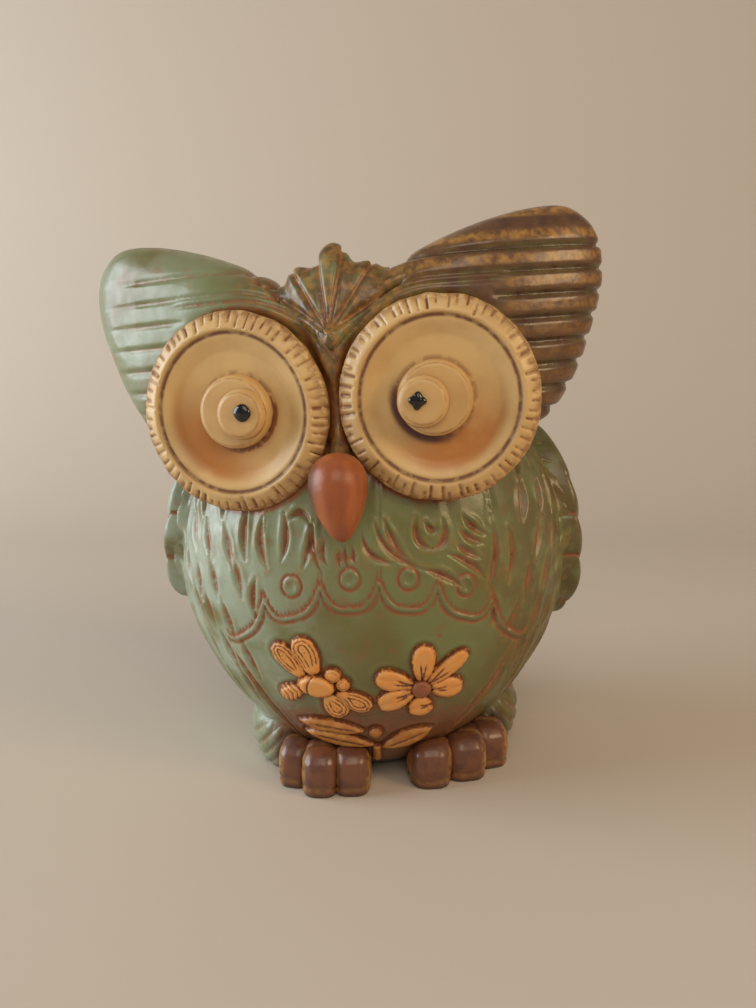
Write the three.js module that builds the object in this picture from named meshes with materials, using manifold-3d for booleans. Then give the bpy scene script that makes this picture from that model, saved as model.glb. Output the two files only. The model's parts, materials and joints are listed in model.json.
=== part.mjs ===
// Glazed earthenware owl figurine: a hollow round body, a hollow head turned and tipped on it,
// and the separately formed pieces that are joined on with slip.
// Millimetres, +Z up. The owl looks along -Y, so its left side is at +X.
// The origin is on the resting plane, at the centre of the whole figurine's box.

import * as THREE from 'three';
import { mergeVertices } from 'three/addons/utils/BufferGeometryUtils.js';
import Module from 'manifold-3d';

const wasm = await Module();
wasm.setup();

// ---------------------------------------------------------------- driving dimensions

const WALL = 5;              // slip-cast wall
const JOINT_GAP = 0.3;       // clearance at every luted joint
const BASE_HOLE_RADIUS = 13; // pour and vent hole under the body
const NECK_HOLE_RADIUS = 30; // opening from the body up into the head

// An egg is given by its offset in x, its half width, its reach to the front and back, and the heights of its
// bottom, widest level and top. The powers say how square its profile and its plan are, and
// a front fullness below 1 keeps the front from narrowing as fast as the sides.
const BODY = {
  offset: -2, halfWidth: 79, front: 68, back: 71, bottom: -4, widest: 80, top: 153,
  lowerPower: 1.74, upperPower: 2.4, planPower: 2.15, frontFullness: 0.6,
};
const HEAD = {
  offset: 0, halfWidth: 70, front: 61, back: 60, bottom: -12, widest: 40, top: 88,
  lowerPower: 2.3, upperPower: 2.3, planPower: 2.7, frontFullness: 1,
};
const DEGREE = Math.PI / 180;
const HEAD_PIVOT = new THREE.Vector3(-1.5, 0, 105); // centre of the neck
const HEAD_TURN = -9 * DEGREE;                      // towards the owl's right
const HEAD_TIP = -4.5 * DEGREE;                     // left ear raised

const DISH = {
  radius: 34.4, tallness: 1.03, spacing: 36.3, forward: -67.5, height: 42.6, splay: 5,
  grooveRadius: 27, grooveWidth: 1.5, grooveDepth: 1.6, rimSlope: 3.5, edgeThickness: 5, edgeRounding: 1,
  bowlDepth: 4.5, bowlRadius: 20, skirtRadius: 25, skirtDepth: 34,
};

// The stepped cone of each eye: how far each step is set towards the beak and down from the
// middle of the dish, and its height over the bowl.
const EYE_STEP = { radius: 12.8, inward: 1.4, drop: -0.4, top: 6 };
const EYE_KNOB = { radius: 8.3, inward: 5.4, drop: 0.3, top: 10.5 };
const STEP_DRAFT = 0.6;    // how much wider a step is at its foot
const STEP_ROUNDING = 1.4;
const STEP_ROOT = 4;       // how far the wide step is let into the bowl
const PUPIL = { radius: 3.1, inward: 7.1, drop: -0.3, height: 1.4 };
const BEAK = { centre: [1.5, -76.5, 12.5], halfSizes: [13.2, 15.5, 15.5], taper: 0.45 };
const WING_THICKNESS = 7;
const RIGHT_WING_LIFT = 7; // how much higher the owl's right wing sits than its left

// Toes: middle of the tip on the floor, half width and turn outwards in degrees.
const TOES = [
  { name: 'toe_right_outer', x: -33.3, tip: -50.5, halfWidth: 6.8, turn: -14 },
  { name: 'toe_right_middle', x: -22.4, tip: -58.5, halfWidth: 7.2, turn: -5 },
  { name: 'toe_right_inner', x: -9.6, tip: -57.5, halfWidth: 7.3, turn: 3 },
  { name: 'toe_left_inner', x: 21, tip: -51.5, halfWidth: 8.2, turn: 4 },
  { name: 'toe_left_middle', x: 36, tip: -45, halfWidth: 8.8, turn: 14 },
  { name: 'toe_left_outer', x: 46.8, tip: -34, halfWidth: 8.6, turn: 20 },
];
const TOE = { halfLength: 16, middleHeight: 7, halfHeight: 10.8, squareness: 0.6 };
const HAUNCHES = [
  { name: 'haunch_left', centre: [42, 3, 15], halfSizes: [16.5, 26, 20] },
  { name: 'haunch_right', centre: [-34.5, -14, 16], halfSizes: [16, 25, 22] },
];
const TAIL = { centre: [0, 62, 14], halfSizes: [23, 15, 27] };

// The sprigs lie on the belly. x and z place them, angles are in degrees from +X, and
// `proud` is how far they stand out from the glaze of the body.
const FLOWER = { x: 15.8, z: 45.2, innerRadius: 3.7, centreRadius: 3.4, proud: 2.4, centreProud: 3.2 };
const PETALS = [
  { angle: 87, reach: 17.6, halfWidth: 3.8 },
  { angle: 40, reach: 21.5, halfWidth: 3.0 },
  { angle: -2, reach: 15.2, halfWidth: 4.0 },
  { angle: -92, reach: 11.8, halfWidth: 4.2 },
  { angle: 204, reach: 17, halfWidth: 3.8 },
  { angle: 161, reach: 17.3, halfWidth: 3.9 },
];
const DRAGONFLY_WINGS = [
  { x: -27.3, z: 50, angle: 131, reach: 15.5, halfWidth: 3.4 },
  { x: -22.8, z: 51.4, angle: 113, reach: 14.8, halfWidth: 4.2 },
  { x: -18.6, z: 42, angle: -54, reach: 10.5, halfWidth: 3.9 },
  { x: -15, z: 43, angle: -24, reach: 13.6, halfWidth: 3.5 },
];
const THORAX = { x: -22.3, z: 46.4, angle: -8, halfLength: 6.4, halfWidth: 4.1, proud: 4.4 };
const ABDOMEN = { x: -27.5, z: 44.5, angle: 206, reach: 8.8, halfWidth: 3.0, proud: 3.2 };
const DRAGONFLY_EYES = [
  { x: -16.4, z: 51, radius: 2.6 },
  { x: -12.7, z: 47.4, radius: 2.3 },
];
const WING_PROUD = 2.2;
const EYE_PROUD = 3;
const LEAVES = [
  { x: 1.6, z: 17.2, angle: 25, reach: 20.5, halfWidth: 3.8 },
  { x: -1.6, z: 18.6, angle: 169, reach: 26, halfWidth: 3.2 },
  { x: -5.5, z: 26, angle: 173, reach: 24, halfWidth: 3 },
];
const LEAF_PROUD = 1.9;
const KNOT = { x: -0.9, z: 25.3, radius: 2.1, proud: 2.6 };
const STEM = { x: -0.2, bottom: 9.5, top: 18, halfWidth: 1.3, proud: 2 };

const LOOKS = {
  glaze: { colour: 0x6f7f52, roughness: 0.35 },
  earGlaze: { colour: 0x6b4526, roughness: 0.35 },
  cream: { colour: 0xd2ab75, roughness: 0.45 },
  pupil: { colour: 0x14110e, roughness: 0.1 },
  beak: { colour: 0x95512f, roughness: 0.45 },
  toe: { colour: 0x6e4630, roughness: 0.35 },
  sprig: { colour: 0xd39350, roughness: 0.45 },
  flowerCentre: { colour: 0x94502a, roughness: 0.45 },
  leaf: { colour: 0xb67a3a, roughness: 0.45 },
};

// ---------------------------------------------------------------- solids

const BODY_SEGMENTS = 42;
const HEAD_SEGMENTS = 40;
const DISH_SEGMENTS = 36;
const HOLE_SEGMENTS = 24;
const EAR_LEVELS = 14;
const EAR_SEGMENTS = 36;
const BRIDGE_SEGMENTS = 12;
const BEYOND = 400; // a length past every side of the figurine

// A closed mesh from a list of rings of points, each ring counter-clockwise as seen from the last.
function loft(rings) {
  const count = rings[0].length;
  const points = rings.flat();
  const indices = [];
  for (let level = 0; level < rings.length - 1; level += 1) {
    for (let step = 0; step < count; step += 1) {
      const a = level * count + step;
      const b = level * count + (step + 1) % count;
      indices.push(a, b, b + count, a, b + count, a + count);
    }
  }
  const lastRing = (rings.length - 1) * count;
  for (const [start, flip] of [[0, true], [lastRing, false]]) {
    const middle = new THREE.Vector3();
    points.slice(start, start + count).forEach((point) => middle.add(point));
    const centre = points.push(middle.divideScalar(count)) - 1;
    for (let step = 0; step < count; step += 1) {
      const a = start + step;
      const b = start + (step + 1) % count;
      indices.push(...(flip ? [centre, b, a] : [centre, a, b]));
    }
  }
  const geometry = new THREE.BufferGeometry().setFromPoints(points);
  geometry.setIndex(indices);
  return geometry;
}

function signedPower(value, power) {
  return Math.sign(value) * Math.abs(value) ** power;
}

// One plan ring of an egg at the fraction `scale` of its widest level.
function eggRing(egg, grow, scale, z, segments) {
  const ring = [];
  for (let step = 0; step < segments; step += 1) {
    const angle = (step / segments) * 2 * Math.PI;
    const across = signedPower(Math.cos(angle), 2 / egg.planPower);
    const along = signedPower(Math.sin(angle), 2 / egg.planPower);
    const depth = along < 0
      ? (egg.front + grow) * scale ** egg.frontFullness
      : (egg.back + grow) * scale;
    const x = egg.offset + (egg.halfWidth + grow) * scale * across;
    ring.push(new THREE.Vector3(x, depth * along, z));
  }
  return ring;
}

// An egg grown by `grow` all round. `floor` cuts it off flat, where it is given.
function eggGeometry(egg, { grow = 0, floor = null, segments, lowerLevels = 9, upperLevels = 10 }) {
  const rings = [];
  const lowerHeight = egg.widest - egg.bottom + grow;
  const upperHeight = egg.top - egg.widest + grow;
  const lowest = floor === null ? 0.999 : (egg.widest - floor) / lowerHeight;
  const lowestAngle = Math.asin(lowest ** (egg.lowerPower / 2));
  for (let level = 0; level < lowerLevels; level += 1) {
    const angle = lowestAngle * (1 - level / lowerLevels);
    const drop = Math.sin(angle) ** (2 / egg.lowerPower);
    const scale = Math.cos(angle) ** (2 / egg.lowerPower);
    rings.push(eggRing(egg, grow, scale, egg.widest - lowerHeight * drop, segments));
  }
  for (let level = 0; level < upperLevels; level += 1) {
    const angle = (level / upperLevels) * (Math.PI / 2);
    const rise = Math.sin(angle) ** (2 / egg.upperPower);
    const scale = Math.cos(angle) ** (2 / egg.upperPower);
    rings.push(eggRing(egg, grow, scale, egg.widest + upperHeight * rise, segments));
  }
  rings.push(eggRing(egg, grow, 0.02, egg.widest + upperHeight, segments));
  return loft(rings);
}

function toSolid(geometry, matrix = null) {
  const placed = geometry.clone();
  placed.deleteAttribute('normal');
  placed.deleteAttribute('uv');
  if (matrix) placed.applyMatrix4(matrix);
  const merged = mergeVertices(placed, 1e-4);
  return new wasm.Manifold(new wasm.Mesh({
    numProp: 3,
    vertProperties: new Float32Array(merged.attributes.position.array),
    triVerts: new Uint32Array(merged.index.array),
  }));
}

function toGeometry(solid) {
  const mesh = solid.getMesh();
  const geometry = new THREE.BufferGeometry();
  geometry.setAttribute('position', new THREE.BufferAttribute(mesh.vertProperties, 3));
  geometry.setIndex(new THREE.BufferAttribute(mesh.triVerts, 1));
  return geometry;
}

// The place of a unit sphere that makes it an ellipsoid, turned by `turn` degrees about +Z.
function ellipsoidPlace(centre, halfSizes, { grow = 0, turn = 0 } = {}) {
  const rotation = new THREE.Quaternion().setFromAxisAngle(new THREE.Vector3(0, 0, 1), turn * DEGREE);
  const scale = new THREE.Vector3(...halfSizes).addScalar(grow);
  return new THREE.Matrix4().compose(new THREE.Vector3(...centre), rotation, scale);
}

// The place of a unit sphere that stretches it from one point to another.
function spindlePlace(from, to, halfWidth, grow = 0) {
  const along = new THREE.Vector3().subVectors(to, from);
  const rotation = new THREE.Quaternion().setFromUnitVectors(
    new THREE.Vector3(0, 0, 1), along.clone().normalize());
  const scale = new THREE.Vector3(halfWidth, halfWidth, along.length() / 2).addScalar(grow);
  return new THREE.Matrix4().compose(from.clone().lerp(to, 0.5), rotation, scale);
}

// A unit sphere. A squareness below 1 fills its corners out, and a taper below 1 thins its lower
// end to that fraction.
function unitSphere(segments, { squareness = 1, taper = 1 } = {}) {
  const sphere = new THREE.SphereGeometry(1, segments, Math.round(segments * 0.6));
  sphere.rotateX(Math.PI / 2);
  const { position } = sphere.attributes;
  for (let index = 0; index < position.count; index += 1) {
    const z = signedPower(position.getZ(index), squareness);
    const width = THREE.MathUtils.lerp(taper, 1, (z + 1) / 2);
    position.setXYZ(
      index,
      width * signedPower(position.getX(index), squareness),
      width * signedPower(position.getY(index), squareness),
      z,
    );
  }
  return sphere;
}

// Swaps left and right, and turns the faces out again.
function mirrored(geometry) {
  const mirror = geometry.clone().scale(-1, 1, 1);
  const { array } = mirror.index;
  for (let corner = 0; corner < array.length; corner += 3) {
    [array[corner], array[corner + 1]] = [array[corner + 1], array[corner]];
  }
  return mirror;
}

// ---------------------------------------------------------------- frames and cutters

const headMatrix = new THREE.Matrix4().makeRotationFromEuler(
  new THREE.Euler(0, HEAD_TIP, HEAD_TURN, 'ZYX'),
).setPosition(HEAD_PIVOT);
const toHead = headMatrix.clone().invert();

const bodyCutGeometry = eggGeometry(BODY, {
  grow: JOINT_GAP, floor: -JOINT_GAP, segments: BODY_SEGMENTS,
});
const bodyCut = toSolid(bodyCutGeometry);
const bodyCutInHead = toSolid(bodyCutGeometry, toHead);
const headCutGeometry = eggGeometry(HEAD, { grow: JOINT_GAP, segments: HEAD_SEGMENTS });
const headCut = toSolid(headCutGeometry);

const floorSlab = new THREE.BoxGeometry(BEYOND, BEYOND, BEYOND).translate(0, 0, -BEYOND / 2);
const floorCut = toSolid(floorSlab);

// ---------------------------------------------------------------- scene graph

const owl = new THREE.Group();
const headGroup = new THREE.Group();
headGroup.applyMatrix4(headMatrix);
owl.add(headGroup);

// The owl's left is at +X.
const SIDES = [
  { name: 'left', sign: 1, wingLift: 0 },
  { name: 'right', sign: -1, wingLift: RIGHT_WING_LIFT },
];

// Adds one named mesh. `shape` is a geometry or a solid in its own frame, `place` puts it in the
// group, and `cutters` are solids in the group's frame that are taken away from it.
function addPiece(group, name, shape, { place = new THREE.Matrix4(), cutters = [], look }) {
  const geometry = shape.isBufferGeometry ? shape : toGeometry(shape);
  const solid = cutters.reduce((rest, cutter) => rest.subtract(cutter), toSolid(geometry, place));
  const local = toGeometry(solid).applyMatrix4(place.clone().invert());
  const material = new THREE.MeshStandardMaterial({
    color: look.colour, roughness: look.roughness, metalness: 0,
  });
  const mesh = new THREE.Mesh(local, material);
  mesh.name = name;
  mesh.applyMatrix4(place);
  group.add(mesh);
}

// ---------------------------------------------------------------- body and head shells

// A round cutter along +Z, about the middle of the object.
function holeCutter(radius, length) {
  return new THREE.CylinderGeometry(radius, radius, length, HOLE_SEGMENTS).rotateX(Math.PI / 2);
}

function bodyShell() {
  const outside = toSolid(eggGeometry(BODY, { floor: 0, segments: BODY_SEGMENTS }));
  const inside = toSolid(eggGeometry(BODY, {
    grow: -WALL, floor: WALL, segments: 28, lowerLevels: 5, upperLevels: 6,
  }));
  const baseHole = holeCutter(BASE_HOLE_RADIUS, 4 * WALL);
  const neckHole = holeCutter(NECK_HOLE_RADIUS, 2 * NECK_HOLE_RADIUS);
  neckHole.translate(HEAD_PIVOT.x, HEAD_PIVOT.y, BODY.top);
  return outside.subtract(inside).subtract(toSolid(baseHole)).subtract(toSolid(neckHole));
}

function headShell() {
  const outside = toSolid(eggGeometry(HEAD, { segments: HEAD_SEGMENTS }));
  const inside = toSolid(eggGeometry(HEAD, {
    grow: -WALL, segments: 24, lowerLevels: 5, upperLevels: 6,
  }));
  return outside.subtract(inside);
}

addPiece(owl, 'body_shell', bodyShell(), { look: LOOKS.glaze });
addPiece(headGroup, 'head_shell', headShell(), { cutters: [bodyCutInHead], look: LOOKS.glaze });

// ---------------------------------------------------------------- eyes

// Each eye looks along its own +Y, with its origin in the middle of the rim.
function eyePlace(sign) {
  const place = new THREE.Matrix4().makeTranslation(sign * DISH.spacing, DISH.forward, DISH.height);
  const turn = new THREE.Matrix4().makeRotationZ(sign * DISH.splay * DEGREE);
  const faceForward = new THREE.Matrix4().makeRotationX(Math.PI);
  return place.multiply(turn).multiply(faceForward);
}

// A place on an eye, towards the beak and down from its middle, and out from the bowl's floor.
function onEye(sign, { inward, drop }, height) {
  const offset = new THREE.Matrix4().makeTranslation(-sign * inward, height - DISH.bowlDepth, drop);
  return eyePlace(sign).multiply(offset);
}

function latheGeometry(profile, segments) {
  const points = profile.map(([radius, height]) => new THREE.Vector2(radius, height));
  return new THREE.LatheGeometry(points, segments);
}

// A round plate with a sloped rim, a groove and a bowl, on a skirt that runs back to the head.
function dishGeometry() {
  const edgeFront = -DISH.rimSlope;
  const edgeBack = edgeFront - DISH.edgeThickness;
  return latheGeometry([
    [0, -DISH.skirtDepth],
    [DISH.skirtRadius, -DISH.skirtDepth],
    [DISH.radius - 0.6 * DISH.edgeRounding, edgeBack],
    [DISH.radius, edgeFront - DISH.edgeRounding],
    [DISH.radius - DISH.edgeRounding, edgeFront + 0.4 * DISH.edgeRounding],
    [DISH.grooveRadius + 1.3 * DISH.edgeRounding, 0],
    [DISH.grooveRadius, -DISH.grooveDepth],
    [DISH.grooveRadius - DISH.grooveWidth, -DISH.grooveDepth],
    [DISH.bowlRadius, -DISH.bowlDepth],
    [0, -DISH.bowlDepth],
  ], DISH_SEGMENTS);
}

// The dish without its bowl, grown by the joint gap: what its neighbours are cut by.
function dishCutGeometry() {
  const edgeBack = -DISH.rimSlope - DISH.edgeThickness;
  return latheGeometry([
    [0, -DISH.skirtDepth],
    [DISH.skirtRadius + JOINT_GAP, -DISH.skirtDepth],
    [DISH.radius + JOINT_GAP, edgeBack - JOINT_GAP],
    [DISH.radius + JOINT_GAP, -DISH.rimSlope + JOINT_GAP],
    [DISH.grooveRadius + DISH.edgeRounding, 3 * JOINT_GAP],
    [0, 3 * JOINT_GAP],
  ], DISH_SEGMENTS).scale(1, 1, DISH.tallness);
}

// A round step with a softened edge. Its foot goes `sunk` below its own origin.
function stepGeometry(radius, height, sunk, segments) {
  return latheGeometry([
    [0, -sunk],
    [radius + STEP_DRAFT, -sunk],
    [radius, height - STEP_ROUNDING],
    [radius - STEP_ROUNDING, height],
    [0, height],
  ], segments);
}

const dishCuts = [];
for (const { name, sign } of SIDES) {
  const eye = eyePlace(sign);
  const dish = dishGeometry().scale(1, 1, DISH.tallness);
  const raised = eye.clone().multiply(new THREE.Matrix4().makeTranslation(0, JOINT_GAP, 0));
  addPiece(headGroup, `eye_dish_${name}`, dish, {
    place: eye, cutters: [headCut, bodyCutInHead], look: LOOKS.cream,
  });
  addPiece(headGroup, `eye_step_${name}`, stepGeometry(EYE_STEP.radius, EYE_STEP.top, STEP_ROOT, 28), {
    place: onEye(sign, EYE_STEP, 0), cutters: [toSolid(dish, raised)], look: LOOKS.cream,
  });
  const knobHeight = EYE_KNOB.top - EYE_STEP.top - JOINT_GAP;
  addPiece(headGroup, `eye_knob_${name}`, stepGeometry(EYE_KNOB.radius, knobHeight, 0, 24), {
    place: onEye(sign, EYE_KNOB, EYE_STEP.top + JOINT_GAP), look: LOOKS.cream,
  });
  const pupil = latheGeometry([
    [0, 0],
    [PUPIL.radius, 0],
    [0.8 * PUPIL.radius, 0.7 * PUPIL.height],
    [0, PUPIL.height],
  ], 16);
  addPiece(headGroup, `pupil_${name}`, pupil, {
    place: onEye(sign, PUPIL, EYE_KNOB.top + JOINT_GAP), look: LOOKS.pupil,
  });
  dishCuts.push(toSolid(dishCutGeometry(), eye));
}

// ---------------------------------------------------------------- ears

// Stations outward from the forehead: x, top height, bottom height, front reach, back reach.
const EAR_STATIONS = [
  [5, 78, 40, -58, -20],
  [22, 89, 44, -60, -16],
  [45, 99.5, 40, -56, -12],
  [70, 106, 28, -46, -10],
  [86, 106, 46, -36, -10],
  [94.5, 99, 68, -29, -12],
];
const EAR_TIP = new THREE.Vector3(99.5, -20, 86);
const EAR_SHIFT = -3; // both ears sit a little towards the owl's right
const EAR_ROUNDNESS = 0.85;
const EAR_CLOSING = 0.55; // how far the last ring is drawn in to the tip

function earGeometry(sign, grow = 0) {
  const high = new THREE.CatmullRomCurve3(EAR_STATIONS.map(([x, top, , front]) => (
    new THREE.Vector3(x, front, top))));
  const low = new THREE.CatmullRomCurve3(EAR_STATIONS.map(([x, , bottom, , back]) => (
    new THREE.Vector3(x, back, bottom))));
  const rings = [];
  for (let level = 0; level <= EAR_LEVELS; level += 1) {
    const top = high.getPoint(level / EAR_LEVELS);
    const bottom = low.getPoint(level / EAR_LEVELS);
    const middle = top.clone().lerp(bottom, 0.5);
    const halfDepth = (bottom.y - top.y) / 2 + grow;
    const halfHeight = (top.z - bottom.z) / 2 + grow;
    const ring = [];
    for (let step = 0; step < EAR_SEGMENTS; step += 1) {
      const angle = (step / EAR_SEGMENTS) * 2 * Math.PI;
      ring.push(new THREE.Vector3(
        middle.x,
        middle.y + halfDepth * signedPower(Math.cos(angle), EAR_ROUNDNESS),
        middle.z + halfHeight * signedPower(Math.sin(angle), EAR_ROUNDNESS),
      ));
    }
    rings.push(ring);
  }
  rings.push(rings[EAR_LEVELS].map((point) => point.clone().lerp(EAR_TIP, EAR_CLOSING)));
  const ear = loft(rings);
  return (sign > 0 ? ear : mirrored(ear)).translate(EAR_SHIFT, 0, 0);
}

const earCuts = [];
for (const { name, sign } of SIDES) {
  addPiece(headGroup, `ear_${name}`, earGeometry(sign), {
    cutters: [headCut, bodyCutInHead, ...dishCuts],
    look: sign > 0 ? LOOKS.earGlaze : LOOKS.glaze,
  });
  earCuts.push(toSolid(earGeometry(sign, JOINT_GAP)));
}

// ---------------------------------------------------------------- crest, bridge and beak

const CREST_ROOT = new THREE.Vector3(0, -60, 65);
const CREST_TAPER = 0.35;
const CREST_LOBES = [
  { name: 'crest_middle', tip: new THREE.Vector3(0.5, -45, 97.5), halfWidth: 6.6 },
  { name: 'crest_left', tip: new THREE.Vector3(14, -45, 90), halfWidth: 5.8 },
  { name: 'crest_right', tip: new THREE.Vector3(-14, -45, 90), halfWidth: 5.8 },
];
const crestCuts = [];
for (const { name, tip, halfWidth } of CREST_LOBES) {
  const lobe = unitSphere(14, { taper: CREST_TAPER });
  addPiece(headGroup, name, lobe, {
    place: spindlePlace(CREST_ROOT, tip, halfWidth),
    cutters: [headCut, ...dishCuts, ...earCuts, ...crestCuts],
    look: LOOKS.glaze,
  });
  crestCuts.push(toSolid(lobe, spindlePlace(CREST_ROOT, tip, halfWidth, JOINT_GAP)));
}

// The ridge between the dishes, which widens above and below them.
const BRIDGE = { bottom: 6, top: 70, middleY: -52, halfDepth: 14, halfWidth: 9 };

function bridgeGeometry(grow = 0) {
  const rings = [];
  const levels = 2;
  for (let level = 0; level <= levels; level += 1) {
    const ring = [];
    for (let step = 0; step < BRIDGE_SEGMENTS; step += 1) {
      const angle = (step / BRIDGE_SEGMENTS) * 2 * Math.PI;
      ring.push(new THREE.Vector3(
        (BRIDGE.halfWidth + grow) * Math.cos(angle),
        BRIDGE.middleY + (BRIDGE.halfDepth + grow) * Math.sin(angle),
        THREE.MathUtils.lerp(BRIDGE.bottom - grow, BRIDGE.top + grow, level / levels),
      ));
    }
    rings.push(ring);
  }
  return loft(rings);
}

addPiece(headGroup, 'bridge', bridgeGeometry(), {
  cutters: [headCut, bodyCutInHead, ...dishCuts, ...earCuts, ...crestCuts], look: LOOKS.glaze,
});
addPiece(headGroup, 'beak', unitSphere(20, { taper: BEAK.taper }), {
  place: ellipsoidPlace(BEAK.centre, BEAK.halfSizes),
  cutters: [headCut, bodyCutInHead, ...dishCuts, toSolid(bridgeGeometry(JOINT_GAP))],
  look: LOOKS.beak,
});

// ---------------------------------------------------------------- wings

// Folded wing seen from the side: x is towards the tail, y is up. Three feather tips at the back.
function wingOutline() {
  const outline = new THREE.Shape();
  outline.moveTo(0, 137);
  outline.bezierCurveTo(-24, 128, -30, 92, -14, 70);
  outline.quadraticCurveTo(-4, 55, 10, 52);
  outline.quadraticCurveTo(18, 53, 19, 61);
  outline.quadraticCurveTo(29, 56, 35, 62);
  outline.quadraticCurveTo(39, 68, 36, 75);
  outline.quadraticCurveTo(46, 74, 50, 82);
  outline.quadraticCurveTo(53, 91, 46, 100);
  outline.bezierCurveTo(40, 118, 22, 137, 0, 137);
  return outline;
}

const headCutInWorld = toSolid(headCutGeometry, headMatrix);
const earCutsInWorld = SIDES.map(({ sign }) => toSolid(earGeometry(sign, JOINT_GAP), headMatrix));
const dishCutsInWorld = SIDES.map(({ sign }) => (
  toSolid(dishCutGeometry(), headMatrix.clone().multiply(eyePlace(sign)))));
const wingSkin = toSolid(eggGeometry(BODY, { grow: WING_THICKNESS, segments: BODY_SEGMENTS }));

for (const { name, sign, wingLift } of SIDES) {
  const side = new THREE.ExtrudeGeometry(wingOutline(), {
    depth: BEYOND, bevelEnabled: false, curveSegments: 5,
  });
  side.rotateX(Math.PI / 2).rotateZ(Math.PI / 2).translate(0, 0, wingLift);
  side.deleteAttribute('normal');
  side.deleteAttribute('uv');
  const outline = mergeVertices(side, 1e-4);
  const slab = toSolid(sign > 0 ? outline : mirrored(outline));
  addPiece(owl, `wing_${name}`, wingSkin.intersect(slab), {
    cutters: [bodyCut, headCutInWorld, ...earCutsInWorld, ...dishCutsInWorld], look: LOOKS.glaze,
  });
}

// ---------------------------------------------------------------- feet and tail

const toeCuts = [];
for (const { name, x, tip, halfWidth, turn } of TOES) {
  const centre = [
    x - TOE.halfLength * Math.sin(turn * DEGREE),
    tip + TOE.halfLength * Math.cos(turn * DEGREE),
    TOE.middleHeight,
  ];
  const halfSizes = [halfWidth, TOE.halfLength, TOE.halfHeight];
  const toe = unitSphere(14, { squareness: TOE.squareness });
  addPiece(owl, name, toe, {
    place: ellipsoidPlace(centre, halfSizes, { turn }),
    cutters: [floorCut, bodyCut, ...toeCuts],
    look: LOOKS.toe,
  });
  toeCuts.push(toSolid(toe, ellipsoidPlace(centre, halfSizes, { turn, grow: JOINT_GAP })));
}
for (const { name, centre, halfSizes } of HAUNCHES) {
  addPiece(owl, name, unitSphere(18), {
    place: ellipsoidPlace(centre, halfSizes),
    cutters: [floorCut, bodyCut, ...toeCuts],
    look: LOOKS.glaze,
  });
}
addPiece(owl, 'tail', unitSphere(16), {
  place: ellipsoidPlace(TAIL.centre, TAIL.halfSizes), cutters: [floorCut, bodyCut], look: LOOKS.glaze,
});

// ---------------------------------------------------------------- belly sprigs

// A drop with a narrow base, lying along +X.
function dropOutline({ inner = 0, reach, halfWidth }, grow) {
  const start = inner - grow;
  const end = reach + grow;
  const base = 0.35 * halfWidth + grow;
  const shoulder = start + 0.3 * (end - start);
  const bulge = 1.2 * halfWidth + grow;
  const tip = 1.4 * halfWidth + grow;
  const outline = new THREE.Shape();
  outline.moveTo(start, -base);
  outline.bezierCurveTo(shoulder, -bulge, end, -tip, end, 0);
  outline.bezierCurveTo(end, tip, shoulder, bulge, start, base);
  return outline;
}

// A leaf that is pointed at both ends, lying along +X.
function leafOutline({ reach, halfWidth }, grow) {
  const outline = new THREE.Shape();
  const bulge = 1.35 * halfWidth + grow;
  outline.moveTo(-grow, -grow);
  outline.bezierCurveTo(0.3 * reach, -bulge, 0.75 * reach, -bulge, reach + grow, -grow);
  outline.lineTo(reach + grow, grow);
  outline.bezierCurveTo(0.75 * reach, bulge, 0.3 * reach, bulge, -grow, grow);
  return outline;
}

function ellipseOutline(halfLength, halfWidth, grow) {
  const outline = new THREE.Shape();
  outline.absellipse(0, 0, halfLength + grow, halfWidth + grow, 0, 2 * Math.PI);
  return outline;
}

function barOutline({ halfWidth, bottom, top }, grow) {
  const outline = new THREE.Shape();
  outline.moveTo(-halfWidth - grow, bottom - grow);
  outline.lineTo(halfWidth + grow, bottom - grow);
  outline.lineTo(halfWidth + grow, top + grow);
  outline.lineTo(-halfWidth - grow, top + grow);
  return outline;
}

const sprigCuts = [];

// Presses a flat outline on the belly. `outlineOf` gives it grown by any amount.
function addSprig(name, outlineOf, { x, z, angle = 0, proud, look }) {
  const slab = (grow) => toSolid(
    new THREE.ExtrudeGeometry(outlineOf(grow), { depth: BEYOND, bevelEnabled: false, curveSegments: 7 })
      .rotateZ(angle * DEGREE)
      .translate(x, z, 0)
      .rotateX(Math.PI / 2),
  );
  const skin = toSolid(eggGeometry(BODY, { grow: proud, segments: BODY_SEGMENTS }));
  addPiece(owl, name, skin.intersect(slab(0)), {
    cutters: [floorCut, bodyCut, ...sprigCuts, ...toeCuts], look,
  });
  sprigCuts.push(slab(JOINT_GAP));
}

addSprig('flower_centre', (grow) => ellipseOutline(FLOWER.centreRadius, FLOWER.centreRadius, grow), {
  x: FLOWER.x, z: FLOWER.z, proud: FLOWER.centreProud, look: LOOKS.flowerCentre,
});
PETALS.forEach((petal, index) => {
  const drop = { ...petal, inner: FLOWER.innerRadius };
  addSprig(`flower_petal_${index + 1}`, (grow) => dropOutline(drop, grow), {
    x: FLOWER.x, z: FLOWER.z, angle: petal.angle, proud: FLOWER.proud, look: LOOKS.sprig,
  });
});
addSprig('dragonfly_thorax', (grow) => ellipseOutline(THORAX.halfLength, THORAX.halfWidth, grow), {
  ...THORAX, look: LOOKS.sprig,
});
addSprig('dragonfly_abdomen', (grow) => dropOutline(ABDOMEN, grow), { ...ABDOMEN, look: LOOKS.sprig });
DRAGONFLY_EYES.forEach((eye, index) => {
  addSprig(`dragonfly_eye_${index + 1}`, (grow) => ellipseOutline(eye.radius, eye.radius, grow), {
    ...eye, proud: EYE_PROUD, look: LOOKS.sprig,
  });
});
DRAGONFLY_WINGS.forEach((wing, index) => {
  addSprig(`dragonfly_wing_${index + 1}`, (grow) => dropOutline(wing, grow), {
    ...wing, proud: WING_PROUD, look: LOOKS.sprig,
  });
});
addSprig('stem_knot', (grow) => ellipseOutline(KNOT.radius, KNOT.radius, grow), {
  ...KNOT, look: LOOKS.leaf,
});
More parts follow.
